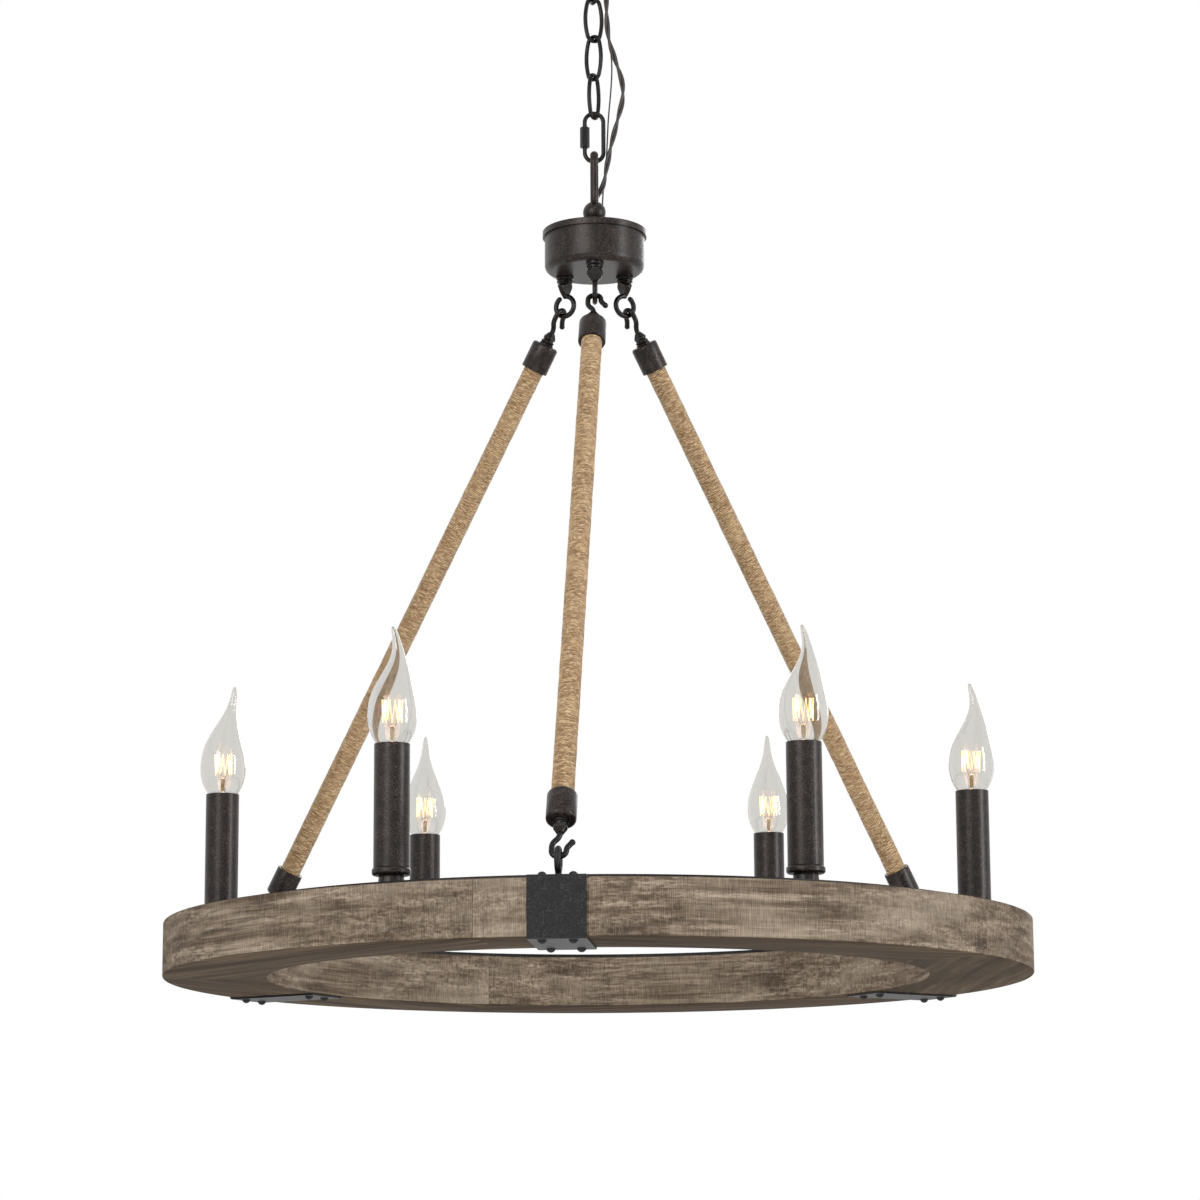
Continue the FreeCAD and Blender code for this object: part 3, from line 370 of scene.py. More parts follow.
zinc = drawn_metal("zinc_plate", (0.62, 0.62, 0.6), 0.32, (60, 2500, 2500))
brass = drawn_metal("lamp_brass", (0.72, 0.52, 0.26), 0.3, (900, 900, 90))
holder_plastic = moulded("holder_plastic", (0.72, 0.68, 0.6), 0.45)
sheath = moulded("cord_sheath", (0.020, 0.016, 0.015), 0.42)
earth_green = moulded("earth_green", (0.03, 0.22, 0.07), 0.35)
print("small finishes made")

# %% [markdown]
# ## Dress the CAD nodes
#
# A CAD node keeps its mesh and only gets a better material in its slots. The
# names say what each piece is, so one table dresses them all. A node that the
# table leaves out is bronze.

# %% Materials on CAD nodes
DRESS = [("chain_link", black), ("quick_link", black), ("rope_hooks", black), ("hub_hook", black),
         ("strap", slate), ("wire_channel", slate), ("ceiling_crossbar", zinc), ("nipple", zinc),
         ("hub_nut", zinc), ("ground_screw", earth_green), ("candle_holders", holder_plastic),
         ("bulb_base", brass), ("supply_cord", sheath), ("earth_wire", sheath)]
for name, node in frame["nodes"].items():
    finish = next((m for start, m in DRESS if name.startswith(start)), bronze)
    for slot in node.material_slots:
        slot.material = finish
print("dressed", len(frame["nodes"]), "nodes")

# %% [markdown]
# ## From a bmesh to a piece
#
# Every new piece ends the same way: the bmesh becomes a mesh, gets smooth
# shading with sharp edges kept above an angle, takes its material, and, when
# it is given a body, rides on that body. Round pieces begin the same way too,
# as a profile of radii and heights in millimetres that is spun about Z.

# %% Piece helpers
WELD = 0.001 * MM


def to_piece(name, bm, finish, body, replaces=(), sharp=40.0):
    mesh = bpy.data.meshes.new(name)
    bmesh.ops.recalc_face_normals(bm, faces=bm.faces)
    for face in bm.faces:
        face.smooth = True
    bm.to_mesh(mesh)
    bm.free()
    mesh.set_sharp_from_angle(angle=math.radians(sharp))
    mesh.materials.append(finish)
    piece = in_scene(name, mesh)
    if body:
        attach(piece, body)
    if replaces:
        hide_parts(*replaces)
    return piece


def polyline(bm, points):
    """Adds a vertex at each point and an edge between neighbours."""
    line = [bm.verts.new(point) for point in points]
    return line, [bm.edges.new(pair) for pair in zip(line, line[1:])]


def turned(profile, steps, lift=0.0):
    """A profile of (radius, height) in millimetres, lifted and spun about Z."""
    bm = bmesh.new()
    line, edges = polyline(bm, [(r * MM, 0, z * MM + lift) for r, z in profile])
    bmesh.ops.spin(bm, geom=line + edges, cent=(0, 0, 0), axis=(0, 0, 1), angle=FULL_TURN,
                   steps=steps, use_merge=True)
    bmesh.ops.remove_doubles(bm, verts=bm.verts, dist=WELD)
    return bm


def verts_of(made):
    """The vertices among what a bmesh operator made."""
    return [v for v in made["geom"] if isinstance(v, bmesh.types.BMVert)]


print("helpers ready")

# %% [markdown]
# ## Wood
#
# The hoop is five boards, sawn to a curve and butted together. Each board has
# straight grain along its own chord, so the pattern is turned to each board's
# middle. The walls show what the band saw left: fine upright lines a little
# over a millimetre apart, with finer scratches between them. A weathered
# stain lies over it, dark in streaks and knots, grey where it has worn. The
# underside and the top are darker and smoother. Their darker colour is partly
# the wood's own and partly painted shade. A surface's own normal tells the
# walls from the flat faces.

# %% Wood finish
SAW_PITCH = 1.35 * MM
SAW_TURN = math.radians(-3)
WALL_TONES = [(0.35, (0.072, 0.051, 0.036)), (0.46, (0.150, 0.114, 0.083)),
              (0.56, (0.232, 0.182, 0.137)), (0.66, (0.350, 0.286, 0.222))]
# The flat colours, for the top and underside, are darker partly for the wood's own tone and partly
# as painted shade.
FLAT_TONES_AND_SHADE = [(0.36, (0.024, 0.015, 0.009)), (0.5, (0.060, 0.040, 0.024)),
              (0.66, (0.115, 0.081, 0.051))]
# The second grain colour, for the flat faces, is darker partly as painted shade.
WALL_GRAIN, FLAT_GRAIN_AND_SHADE = (0.062, 0.044, 0.031), (0.028, 0.019, 0.012)
STAIN_DARK, WORN_GREY = (0.040, 0.029, 0.022), (0.390, 0.325, 0.255)
SAW_DARK = (0.052, 0.037, 0.027)
SCRATCH_DARK, SCRATCH_PALE = (0.050, 0.036, 0.026), (0.440, 0.368, 0.288)


def saw_lines(tree):
    """A wave around the hoop, broken up so that no line runs on for ever."""
    place = put(tree, "SeparateXYZ", Vector=stretched(tree, turn=SAW_TURN)).outputs
    angle = sums(tree, "ARCTAN2", place[1], place[0])
    arc = sums(tree, "MULTIPLY", angle, HOOP_OUTER * FULL_TURN / SAW_PITCH)
    wobble = noise(tree, stretched(tree, (160, 160, 14)), 1.0, 4, 0.7)
    wave = sums(tree, "SINE", sums(tree, "ADD", arc, sums(tree, "MULTIPLY", wobble, 16.0)))
    patchy = noise(tree, stretched(tree, (70, 70, 45)), 1.0, 4, 0.6)
    return sums(tree, "MULTIPLY", wave, ramp(tree, patchy, [(0.38, 0.1), (0.56, 1.0)]))


def weathered_wood(name, middle, seed):
    """Wood with its grain along the chord of a board whose middle is at an angle."""
    finish, tree, shader = new_finish(name, Specular_IOR_Level=0.05)
    drift = (seed * 0.37, seed * 0.91, seed * 0.13)
    stain_drift = (drift[1], drift[2], drift[0])
    grain = noise(tree, stretched(tree, (520, 14, 520), -middle, drift), 1.0, 6, 0.65)
    streaks = noise(tree, stretched(tree, (60, 3.2, 190), -middle, drift), 1.0, 6, 0.66)
    clouds = noise(tree, stretched(tree, (12, 9, 26), -middle, drift), 1.0, 4, 0.6)
    stain = noise(tree, stretched(tree, (40, 7, 75), -middle, stain_drift), 1.0, 6, 0.7)
    scratches = noise(tree, stretched(tree, (1300, 1300, 110)), 1.0, 4, 0.7)
    saw = saw_lines(tree)
    saw_share = put(tree, "MapRange", Value=saw, From_Min=-0.4, From_Max=1.0,
                    To_Min=0.0, To_Max=0.38).outputs[0]

    wall = ramp(tree, streaks, WALL_TONES)
    wall = glaze(tree, grain, [(0.42, 0.7), (0.53, 0.0)], wall, WALL_GRAIN)
    wall = glaze(tree, stain, [(0.55, 0.0), (0.66, 0.75)], wall, STAIN_DARK)
    wall = glaze(tree, clouds, [(0.46, 0.0), (0.66, 0.45)], wall, WORN_GREY)
    wall = blend_colours(tree, saw_share, wall, SAW_DARK)
    wall = glaze(tree, scratches, [(0.36, 0.5), (0.48, 0.0)], wall, SCRATCH_DARK)
    wall = glaze(tree, scratches, [(0.55, 0.0), (0.68, 0.25)], wall, SCRATCH_PALE)
    # Top and underside colour: partly the wood's own darker tone, partly painted shade.
    flat_and_shade = ramp(tree, streaks, FLAT_TONES_AND_SHADE)
    flat_and_shade = glaze(tree, grain, [(0.40, 0.7), (0.56, 0.0)], flat_and_shade, FLAT_GRAIN_AND_SHADE)

    normal = put(tree, "SeparateXYZ", Vector=put(tree, "TexCoord").outputs["Normal"]).outputs
    level = put(tree, "MapRange", Value=sums(tree, "ABSOLUTE", normal[2]), From_Min=0.35,
                From_Max=0.75).outputs[0]
    # Flat faces get the darker flat colour, painted shade included.
    tree.links.new(blend_colours(tree, level, wall, flat_and_shade), shader.inputs["Base Color"])
    spread(tree, grain, 0.58, 0.85, shader.inputs["Roughness"])
    saw_depth = sums(tree, "MULTIPLY", sums(tree, "SUBTRACT", 1.0, level), 0.45)
    height = sums(tree, "ADD", sums(tree, "MULTIPLY", saw, saw_depth), grain)
    rough_surface(tree, shader, height, 0.22 * MM, 0.8)
    return finish


print("wood recipe ready")

# %% [markdown]
# ## The five boards
#
# A board is one rounded rectangle spun through 72 degrees. The rectangle is a
# plane of four corners whose corners are bevelled, because a sawn and sanded
# edge catches the light, and the spin gives a rounder wall than the CAD mesh.
# A hair of a gap at each end lets the joint read as a dark line.

# %% Boards
BOARDS, FIRST_SEAM, JOINT = 5, -15.0, 0.1 * MM
BOARD_SWEEP = 360 / BOARDS
EDGE_ROUND, BOARD_STEPS = 1.1 * MM, 60


def board(number):
    start = math.radians(FIRST_SEAM + (number - 1) * BOARD_SWEEP - 90) + JOINT / HOOP_OUTER
    sweep = math.radians(BOARD_SWEEP) - 2 * JOINT / HOOP_OUTER
    bottom = HOOP_TOP - HOOP_HEIGHT
    bm = bmesh.new()
    corners = [(HOOP_INNER, bottom), (HOOP_OUTER, bottom), (HOOP_OUTER, HOOP_TOP),
               (HOOP_INNER, HOOP_TOP)]
    bm.faces.new([bm.verts.new((r, 0, z)) for r, z in corners])
    bmesh.ops.bevel(bm, geom=list(bm.verts), offset=EDGE_ROUND, offset_type="OFFSET",
                    affect="VERTICES", segments=3, profile=0.5, material=-1)
    bmesh.ops.rotate(bm, verts=bm.verts, cent=(0, 0, 0), matrix=Matrix.Rotation(start, 3, "Z"))
    bmesh.ops.spin(bm, geom=list(bm.verts) + list(bm.edges) + list(bm.faces), cent=(0, 0, 0),
                   axis=(0, 0, 1), angle=sweep, steps=BOARD_STEPS)
    finish = weathered_wood("wood_%d" % number, start + sweep / 2, number)
    return to_piece("board_%d" % number, bm, finish, "hoop",
                    ["hoop_segment_%d" % number], 30)


boards = [board(number) for number in range(1, BOARDS + 1)]
print("boards:", [len(b.data.polygons) for b in boards])

# %% [markdown]
# ## Jute
#
# Each rope is a core wound tightly with fine twine, one turn next to the
# other. The winding is real geometry: the outline of one turn, a low bulge,
# is spun around the rope while it climbs by one pitch each turn. The finish
# reads an attribute that holds each point's place before the rope was
# slanted, so the fibres always run around the rope. A second attribute says
# how high a point lies on its turn. With it the finish paints shade into the
# gaps between turns, where a point lies low.

# %% Jute finish
TWINE = 1.15 * MM
TWINE_TONES = [(0.40, (0.250, 0.135, 0.052)), (0.5, (0.520, 0.340, 0.165)),
               (0.60, (0.820, 0.610, 0.360))]
# The last of these colours is painted shade, laid into the gaps between turns.
FIBRE_DARK, JUTE_PALE, GAP_SHADE = (0.12, 0.062, 0.024), (0.66, 0.48, 0.27), (0.10, 0.052, 0.02)


def jute_finish():
    finish, tree, shader = new_finish("jute", Roughness=0.85, Sheen_Weight=0.35,
                                     Sheen_Roughness=0.5)
    rest = put(tree, "Attribute", {"attribute_name": "before_slant"}).outputs["Vector"]
    crown = put(tree, "Attribute", {"attribute_name": "crown"}).outputs["Fac"]
    fibres = noise(tree, scaled(tree, rest, (420, 420, 2600)), 1.0, 4, 0.7)
    shades = noise(tree, scaled(tree, rest, (170, 170, 1500)), 1.0, 3, 0.6)
    broad = noise(tree, rest, 38, 3)
    tone = ramp(tree, shades, TWINE_TONES)
    tone = glaze(tree, fibres, [(0.42, 0.85), (0.54, 0.0)], tone, FIBRE_DARK)
    tone = glaze(tree, broad, [(0.45, 0.0), (0.7, 0.3)], tone, JUTE_PALE)
    # Painted shade: points low on their turn, in the gaps between turns, are darkened.
    gap_shade = sums(tree, "MULTIPLY", sums(tree, "SUBTRACT", 1.0, crown), 0.85)
    tree.links.new(blend_colours(tree, gap_shade, tone, GAP_SHADE), shader.inputs["Base Color"])
    rough_surface(tree, shader, fibres, 0.3 * MM, 1.0)
    return finish


jute = jute_finish()
print("jute ready, one turn every", TWINE, "m")

# %% Wound ropes
ROPE_RADIUS, ROPE_LENGTH, ROPE_START = 8 * MM, 479 * MM, 29.65 * MM
CORE_RADIUS = 7.5 * MM
TURN_OUTLINE, TURN_STEPS = (7.5, 7.87, 8.0, 7.87, 7.5), 22
# How much the winding swells, and how many lumps there are in a metre.
SWELLS = ((0.028, 95), (0.018, 420))


def slant(side):
    """Where a rope stands: Z along it, from the eye in the strap up to the hub's hook."""
    hub_azimuth, eye_azimuth = SIDES[side]
    high = outward(hub_azimuth) * HOOK_CIRCLE + Vector((0, 0, HOOK_RING_Z))
    low = outward(eye_azimuth) * EYE_CIRCLE + Vector((0, 0, EYE_RING_Z))
    along = (high - low).normalized()
    sideways = Vector((0, 0, 1)).cross(Vector((along.x, along.y, 0))).normalized()
    turn = Matrix((sideways, along.cross(sideways), along)).transposed().to_4x4()
    return Matrix.Translation(low + along * EYE_RING) @ turn


def repeated(bm, count, rise):
    """Stacks copies of everything in a bmesh, doubling the stack each time."""
    have = 1
    while have < count:
        add = min(have, count - have)
        by_height = sorted(bm.faces, key=lambda f: f.calc_center_median().z)
        made = bmesh.ops.duplicate(bm, geom=by_height[:len(bm.faces) * add // have])
        bmesh.ops.translate(bm, verts=verts_of(made), vec=(0, 0, rise * have))
        have += add


def jute_layers(bm):
    """The two attributes that the jute finish reads."""
    return bm.verts.layers.float_vector.new("before_slant"), bm.verts.layers.float.new("crown")


def one_winding():
    """A mesh of the whole winding, standing on the origin."""
    bm = bmesh.new()
    outline, edges = polyline(bm, [(r * MM, 0, TWINE / 4 * k) for k, r in enumerate(TURN_OUTLINE)])
    bmesh.ops.spin(bm, geom=outline + edges, cent=(0, 0, 0), axis=(0, 0, 1),
                   dvec=(0, 0, TWINE / TURN_STEPS), angle=FULL_TURN, steps=TURN_STEPS)
    repeated(bm, int(ROPE_LENGTH / TWINE) - 1, TWINE)
    bmesh.ops.remove_doubles(bm, verts=bm.verts, dist=0.02 * MM)
    bmesh.ops.holes_fill(bm, edges=[e for e in bm.edges if e.is_boundary])
    before, crown = jute_layers(bm)
    for v in bm.verts:
        v[before] = v.co
        rise = (math.hypot(v.co.x, v.co.y) - CORE_RADIUS) / (ROPE_RADIUS - CORE_RADIUS)
        v[crown] = max(0.0, min(1.0, rise))
        swell = 1
        for share, rate in SWELLS:
            swell += share * lumps.noise(v.co * rate)
        v.co.x, v.co.y = v.co.x * swell, v.co.y * swell
    mesh = bpy.data.meshes.new("winding")
    bm.to_mesh(mesh)
    bm.free()
    return mesh


def laid_on_rope(name, side, bm, replaces=()):
    """Moves a mesh from the origin to its place on a rope and makes a jute piece of it."""
    bmesh.ops.translate(bm, verts=bm.verts, vec=(0, 0, ROPE_START))
    bmesh.ops.transform(bm, matrix=slant(side), verts=bm.verts)
    return to_piece(name + side, bm, jute, "rope_%s_set" % side, replaces, 180)


def wound_rope(side):
    bm = bmesh.new()
    bm.from_mesh(winding)
    return laid_on_rope("wound_rope_", side, bm, ["rope_" + side])


winding = one_winding()
ropes = [wound_rope(side) for side in SIDES]
print("ropes:", [len(r.data.polygons) for r in ropes], "faces")

# %% [markdown]
# ## Rope caps
#
# A turned metal cap holds each rope's end. Its shoulder is rounded and its
# mouth has a rolled lip, so it is spun from a profile.

# %% Caps
CAP = [(0, 0), (8.6, 0), (9.6, 0.35), (10.3, 1.1), (10.5, 2.2), (10.5, 21.3), (10.25, 21.9),
       (9.9, 22), (8.6, 22), (8.3, 21.6), (8.2, 20), (8.2, 3.5), (0, 3.5)]
HOOK_REACH, HOOK_SPAN = 25.65 * MM, 538.3 * MM


def rope_caps(side):
    """Both caps of a rope: one profile, spun, and a copy of it turned over."""
    bm = turned(CAP, 48, HOOK_REACH)
    upper = verts_of(bmesh.ops.duplicate(bm, geom=bm.faces))
    turned_over = Matrix.Translation((0, 0, HOOK_SPAN)) @ Matrix.Rotation(math.pi, 4, "X")
    bmesh.ops.transform(bm, matrix=turned_over, verts=upper)
    bmesh.ops.transform(bm, matrix=slant(side), verts=bm.verts)
    return to_piece("turned_caps_" + side, bm, bronze, "rope_%s_set" % side,
                    ["rope_caps_" + side], 35)


caps = [rope_caps(side) for side in SIDES]
print("caps:", [len(piece.data.polygons) for piece in caps])

# %% [markdown]
# ## Stray fibres
#
# Jute is hairy. A few hundred short loose fibres along each rope, thinner
# than a tenth of a millimetre, soften its outline. Each is a bent strip of a
# few faces, which leaves the rope along an arc.

# %% Stray fibres
FIBRES, FIBRE_FACES = 420, 3
FIBRE_FOOT = 7.95 * MM
FIBRE_CURVE = 1.6


def strays(side):
    dice = random.Random(side)
    bm = bmesh.new()
    for _ in range(FIBRES):
        angle, z = dice.uniform(0, FULL_TURN), dice.uniform(20, 460) * MM
        length, lift = dice.uniform(2.5, 8) * MM, dice.uniform(0.4, 2.2) * MM
        width = dice.uniform(0.04, 0.09) * MM
        lean = dice.uniform(-0.5, 0.5)
        points = []
        for k in range(FIBRE_FACES + 1):
            t = k / FIBRE_FACES
            a = angle + t * length / ROPE_RADIUS
            r = FIBRE_FOOT + lift * t ** FIBRE_CURVE
            points.append((r * math.cos(a), r * math.sin(a), z + lean * length * t))
        _, strip = polyline(bm, points)
        made = bmesh.ops.extrude_edge_only(bm, edges=strip)
        bmesh.ops.translate(bm, verts=verts_of(made), vec=(0, 0, width))
    before, crown = jute_layers(bm)
    for v in bm.verts:
        v[before], v[crown] = v.co, 1.0
    return laid_on_rope("stray_fibres_", side, bm)


fuzz = [strays(side) for side in SIDES]
print("fibres:", [len(f.data.polygons) for f in fuzz], "faces")

# %% [markdown]
# ## Blown bulbs
#
# The bulbs are clear bent-tip lamps. The envelope is a profile spun about Z,
# which keeps it perfectly round, and then its rings above the shoulder are
# slid sideways along an S, as the glassblower pulls the tip. Solidify gives
# the wall, which bends the light at both surfaces. Seen edge on, the glass is
# many times thicker, so a deeper tint there gives the thin dark outline.

# %% Glass and glow
CLEAR_TINT, EDGE_TINT = (0.80, 0.79, 0.765), (0.30, 0.28, 0.25)


def glass_finish():
    finish, tree, shader = new_finish("clear_glass", Base_Color=(*CLEAR_TINT, 1), Roughness=0.0,
                                     IOR=1.45, Transmission_Weight=1.0)
    edge_on = put(tree, "LayerWeight", Blend=0.5).outputs["Facing"]
    tint = ramp(tree, edge_on, [(0.72, CLEAR_TINT), (0.97, EDGE_TINT)])
    tree.links.new(tint, shader.inputs["Base Color"])
    seeds = noise(tree, stretched(tree, (1, 1, 0.4)), 90, 2)
    rough_surface(tree, shader, seeds, 0.1 * MM, 0.05)
    return finish


def glow_finish():
    finish, tree, shader = new_finish("hot_filament", Base_Color=(0.9, 0.5, 0.2, 1), Roughness=0.6,
                                     Emission_Strength=4.5)
    heat = noise(tree, stretched(tree), 400, 2)
    tree.links.new(ramp(tree, heat, [(0.35, (1.0, 0.47, 0.16)), (0.65, (1.0, 0.70, 0.38))]),
                   shader.inputs["Emission Color"])
    return finish


glass, glow = glass_finish(), glow_finish()
support_metal = drawn_metal("support_wire", (0.8, 0.6, 0.34), 0.3, (400, 400, 4000))
print("glass, filament and support wire ready")

# %% Bulb envelope
PROFILE = [(10.7, -2), (10.9, 0), (13.0, 3), (15.5, 8), (17.05, 14), (17.5, 20), (16.9, 28),
           (15.0, 36), (12.0, 44), (8.8, 52), (6.3, 58), (4.4, 64), (3.25, 70), (2.55, 76),
           (2.1, 80), (1.2, 82.2), (0, 82.8)]
BEND_FROM, BEND_TO = 36, 82.5
GLASS_WALL = 0.5 * MM
# For each bulb: which way its tip bends in degrees, its lean and its curl in millimetres.
BENDS = {1: (0, 3.8, 0.0), 2: (0, 3.8, 0.0), 3: (90, 0.0, 4.8),
         4: (90, 0.0, 4.8), 5: (0, 0.0, 8.0), 6: (0, 3.8, 0.0)}


def bulb_spot(number):
    return outward(CANDLES[number - 1]) * CANDLE_CIRCLE + Vector((0, 0, SLEEVE_TOP))


def bend_at(z, lean, curl):
    """How far a ring slides: a curl that stays at the tip, a lean that comes back."""
    t = max(0.0, (z - BEND_FROM) / (BEND_TO - BEND_FROM))
    return curl * (3 * t ** 2 - 2 * t ** 3) + lean * math.sin(math.pi * min(t, 1.0) ** 1.2)


def envelope(number):
    direction, lean, curl = BENDS[number]
    turn = Matrix.Rotation(math.radians(direction), 3, "Z")
    bm = turned(PROFILE, 32)
    for _, z in PROFILE:
        ring = [v for v in bm.verts if abs(v.co.z - z * MM) < 0.01 * MM]
        bmesh.ops.translate(bm, verts=ring, vec=(bend_at(z, lean, curl) * MM, 0, 0))
    bmesh.ops.rotate(bm, verts=bm.verts, cent=(0, 0, 0), matrix=turn)
    bmesh.ops.translate(bm, verts=bm.verts, vec=bulb_spot(number))
    piece = to_piece("bulb_envelope_%d" % number, bm, glass, "bulb_%d" % number,
                     ["bulb_glass_%d" % number], 180)
    round_up = piece.modifiers.new("round", "SUBSURF")
    round_up.levels = round_up.render_levels = 2
    wall = piece.modifiers.new("wall", "SOLIDIFY")
    wall.thickness, wall.offset = GLASS_WALL, -1
    return piece


envelopes = [envelope(number) for number in BENDS]
print("envelopes:", len(envelopes))

# %% [markdown]
# ## Inside the bulb
#
# A glass stem stands in the neck, two pairs of stiff wires rise from it in a
# V, and the filament zigzags between them. A wire is a short curve with a
# round bevel, turned into a mesh so that it can ride with its bulb.


# %% Wires
def wire_mesh(points, radius, sides=4, smooth=True, fineness=4):
    """A mesh tube along points, from a curve that is thrown away. No radius, no tube: a line."""
    data = bpy.data.curves.new("draft", "CURVE")
    data.dimensions, data.resolution_u = "3D", fineness
    data.bevel_depth, data.bevel_resolution, data.use_fill_caps = radius, sides // 2, True
    spline = data.splines.new("NURBS" if smooth else "POLY")
    spline.points.add(len(points) - 1)
    for spot, point in zip(spline.points, points):
        spot.co = (*point, 1)
    if smooth:
        spline.order_u, spline.use_endpoint_u = 3, True
    draft = bpy.data.objects.new("draft", data)
    mesh = bpy.data.meshes.new_from_object(draft)
    bpy.data.objects.remove(draft)
    return mesh


def gathered(meshes):
    """One bmesh of several meshes, which are used up."""
    bm = bmesh.new()
    for mesh in meshes:
        bm.from_mesh(mesh)
        bpy.data.meshes.remove(mesh)
    return bm


def metres(points):
    return [tuple(c * MM for c in point) for point in points]


print("wire maker ready")

# %% Stem, supports and filament
STEM = [(10.0, -1.6), (6.5, -0.6), (3.4, 2.5), (2.4, 6), (2.2, 9), (2.7, 11.4), (1.6, 13),
        (0, 13.4)]
STEM_TURNS = (0, 8, -12, 25, -20, 5)
# Each pair's points on one side, and its radius.
SUPPORTS = (([(1.2, 0, 11), (3.0, 0, 14), (7.0, 0, 30.5)], 0.28),
            ([(0.6, 0, 12), (1.6, 1.6, 20), (2.6, 2.6, 31)], 0.2))
FILAMENT_LEGS, FILAMENT_RADIUS = 10, 0.36 * MM


def zigzag(across, deep, low, high):
    """Points that jump between two heights along half an oval."""
    angles = [math.pi * k / FILAMENT_LEGS for k in range(FILAMENT_LEGS + 1)]
    return [(across * math.cos(a), deep * math.sin(a), low if k % 2 else high)
            for k, a in enumerate(angles)]


FILAMENT = (zigzag(7.0, 3.4, 15.5, 31.0), zigzag(5.6, -3.4, 17.0, 30.4))


def fittings(number):
    turn = (Matrix.Translation(bulb_spot(number))
            @ Matrix.Rotation(math.radians(STEM_TURNS[number - 1]), 4, "Z"))
    supports = [wire_mesh(metres([(way * x, way * y, z) for x, y, z in path]), radius * MM)
                for way in (-1, 1) for path, radius in SUPPORTS]
    hot = [wire_mesh(metres(path), FILAMENT_RADIUS, 4, False) for path in FILAMENT]
    parts = (("bulb_stem_%d", turned(STEM, 20), glass, "bulb_glass"),
             ("bulb_supports_%d", gathered(supports), support_metal, "bulb_brass"),
             ("bulb_filament_%d", gathered(hot), glow, "bulb_brass"))
    made = []
    for name, bm, finish, slot in parts:
        bmesh.ops.transform(bm, matrix=turn, verts=bm.verts)
        made.append(to_piece(name % number, bm, finish, "bulb_%d" % number, (), 60))
    return made


inner = [fittings(number) for number in BENDS]
print("inner pieces:", sum(len(group) for group in inner))

# %% [markdown]
# ## Supply cord
#
# The cord is a twisted pair that hangs loose beside the chain. Its line is a
# smooth curve through the same points as the CAD tube, and the two insulated
# strands wind around that line. The chain bends at each link, so the cord is
# cut into stretches at the middle of each link. The thin earth wire beside it
# is cut the same way.

# %% Cord line
# The points give their height in millimetres over a datum under the hub's lid.
LID_TOP, LID_OVER_DATUM = -278.5, 543.5
DATUM = (LID_TOP - LID_OVER_DATUM) * MM
ROUTE = [(0, 0, 558), (0, 0, 569.5), (7.2, -0.6, 580), (9.9, -1.6, 597), (14, -2, 616.5),
         (19, -2, 636), (23.4, -2.2, 653.5), (22.2, -2.6, 668), (16.6, -3, 684.5),
         (12.2, -3.3, 698.5), (10.5, -3.7, 713), (10.3, -4.2, 731), (9.6, -5.2, 748),
         (7.6, -6.9, 764), (3.4, -4.2, 776.5), (0, 0, 788), (0, 0, 799)]
EARTH = [(6.2, 3.6, 565.4), (6.9, 4.2, 580), (9.3, 4.1, 599), (10.4, 3.9, 618), (11.2, 3.4, 637),
         (13.0, 2.6, 655), (14.3, 1.6, 672), (14.2, 0.6, 688), (12.2, 0.2, 702)]


def line_of(points):
    """Points along the smooth line, read from a curve with no bevel."""
    mesh = wire_mesh([(x * MM, y * MM, z * MM + DATUM) for x, y, z in points], 0.0, fineness=12)
    spots = [v.co.copy() for v in mesh.vertices]
    bpy.data.meshes.remove(mesh)
    return spots


def run_length(spots):
    return sum((b - a).length for a, b in zip(spots, spots[1:]))


cord_line, earth_line = line_of(ROUTE), line_of(EARTH)
print("cord", round(run_length(cord_line), 4), "m")
print("earth wire", round(run_length(earth_line), 4), "m")

# %% Twisted strands
FINE_STEP = 1.5 * MM
STRAND_RADIUS, STRAND_OFFSET, TWIST_PITCH = 1.15 * MM, 1.08 * MM, 46 * MM
TWIST_PHASES = (0.3, 0.3 + math.pi)
EARTH_RADIUS = 0.62 * MM
CHAIN = ["ceiling_set", "link_1", "link_2", "link_3", "link_4", "quick_link", "hub"]
PIVOTS = [joint["pos_m"][2] for body in CHAIN[1:] for joint in frame["joints"]
          if joint["child"] == body]


def finer(line, step):
    """The same line with a point about every step."""
    out = [line[0]]
    for a, b in zip(line, line[1:]):
        pieces = max(1, round((b - a).length / step))
        out += [a.lerp(b, k / pieces) for k in range(1, pieces + 1)]
    return out


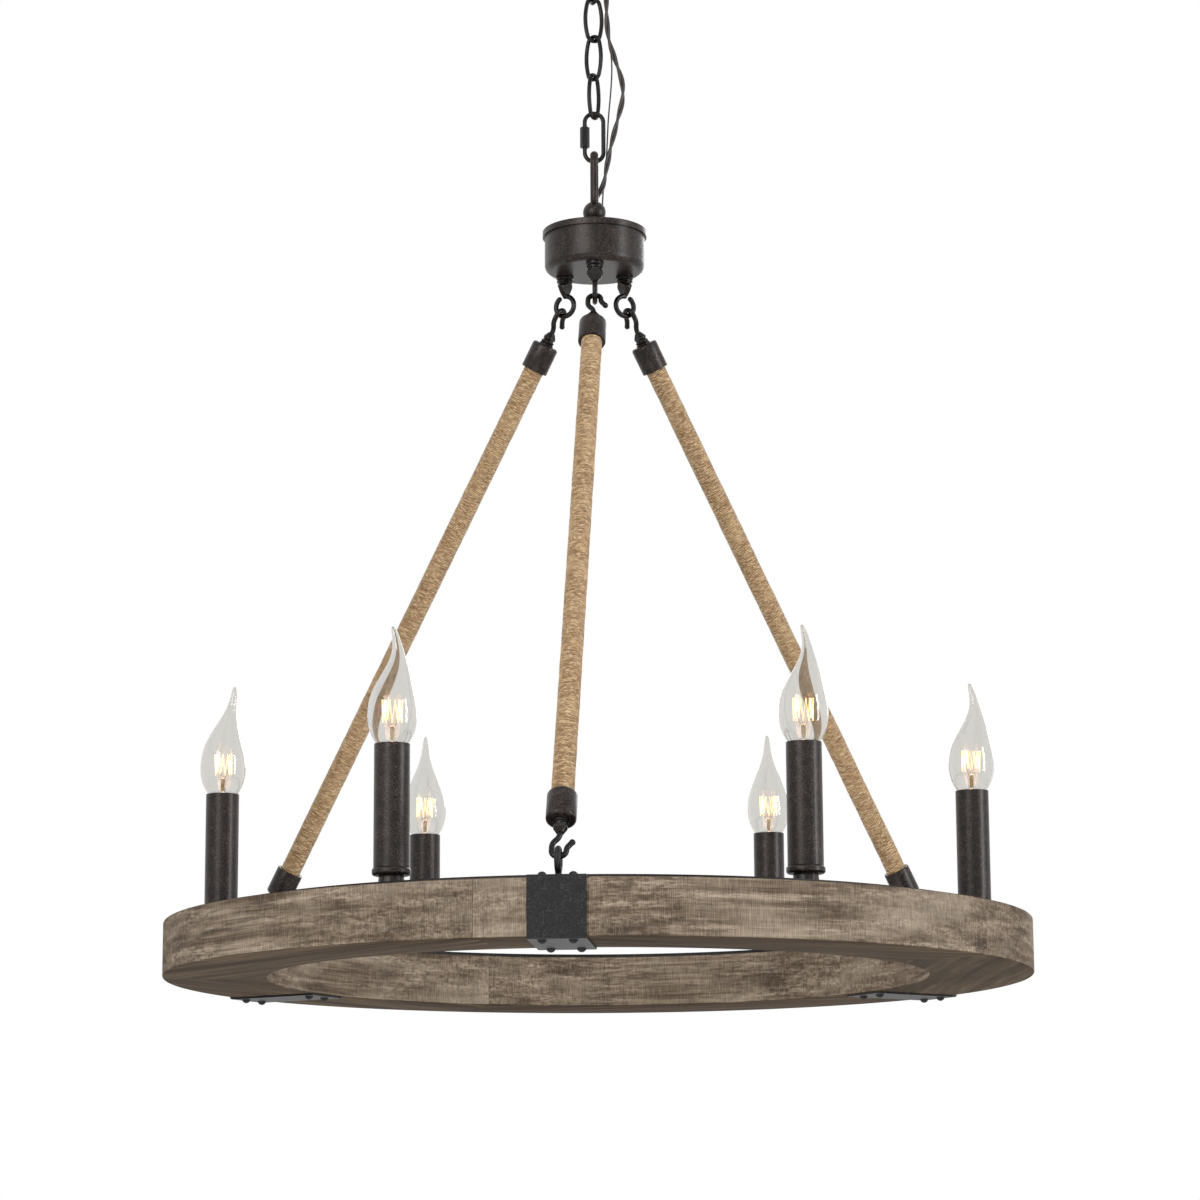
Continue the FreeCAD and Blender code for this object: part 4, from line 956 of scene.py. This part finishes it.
def twisted(line, phase):
    """A strand that winds around a line, as points."""
    spots, gone = [], 0.0
    for i, point in enumerate(line):
        if i:
            gone += (point - line[i - 1]).length
        heading = (line[min(i + 1, len(line) - 1)] - line[max(i - 1, 0)]).normalized()
        side = heading.cross(Vector((0, 1, 0))).normalized()
        other = heading.cross(side)
        a = phase + FULL_TURN * gone / TWIST_PITCH
        spots.append(point + (side * math.cos(a) + other * math.sin(a)) * STRAND_OFFSET)
    return spots


def cut_between(bm, low, high):
    """Keeps what lies between two heights and closes the cuts; None is no cut."""
    for height, above in ((low, False), (high, True)):
        if height is None:
            continue
        geom = list(bm.verts) + list(bm.edges) + list(bm.faces)
        bmesh.ops.bisect_plane(bm, geom=geom, plane_co=(0, 0, height), plane_no=(0, 0, 1),
                               clear_inner=not above, clear_outer=above)
        bmesh.ops.holes_fill(bm, edges=[e for e in bm.edges if e.is_boundary])


def laced(name, meshes, finish, node, first):
    """Cuts a cord at the middle of each link, so that each stretch spans one joint."""
    middles = [(a + b) / 2 for a, b in zip(PIVOTS, PIVOTS[1:])] + [None]
    made = []
    for k in range(first, len(CHAIN) - 1):
        high, low = (None if k == first else middles[k - 1]), middles[k]
        bm = bmesh.new()
        for mesh in meshes:
            bm.from_mesh(mesh)
        cut_between(bm, low, high)
        piece = to_piece("%s_%d" % (name, k + 1), bm, finish, None, [node], 60)
        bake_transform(piece)
        made.append(piece)
    return made


cord_fine, earth_fine = finer(cord_line, FINE_STEP), finer(earth_line, FINE_STEP)
strands = [wire_mesh(twisted(cord_fine, phase), STRAND_RADIUS, 8) for phase in TWIST_PHASES]
earth_tube = [wire_mesh(earth_fine, EARTH_RADIUS, 6)]
cord_pieces = laced("cord", strands, sheath, "supply_cord", 0)
earth_pieces = laced("earth", earth_tube, sheath, "earth_wire", 3)
print("stretches:", len(cord_pieces), "of cord and", len(earth_pieces), "of earth wire")

# %% [markdown]
# ## The view at the end
#
# The view transform is set to Standard, so that colours render as they are given.

# %% Finish
bpy.context.scene.view_settings.view_transform = "Standard"
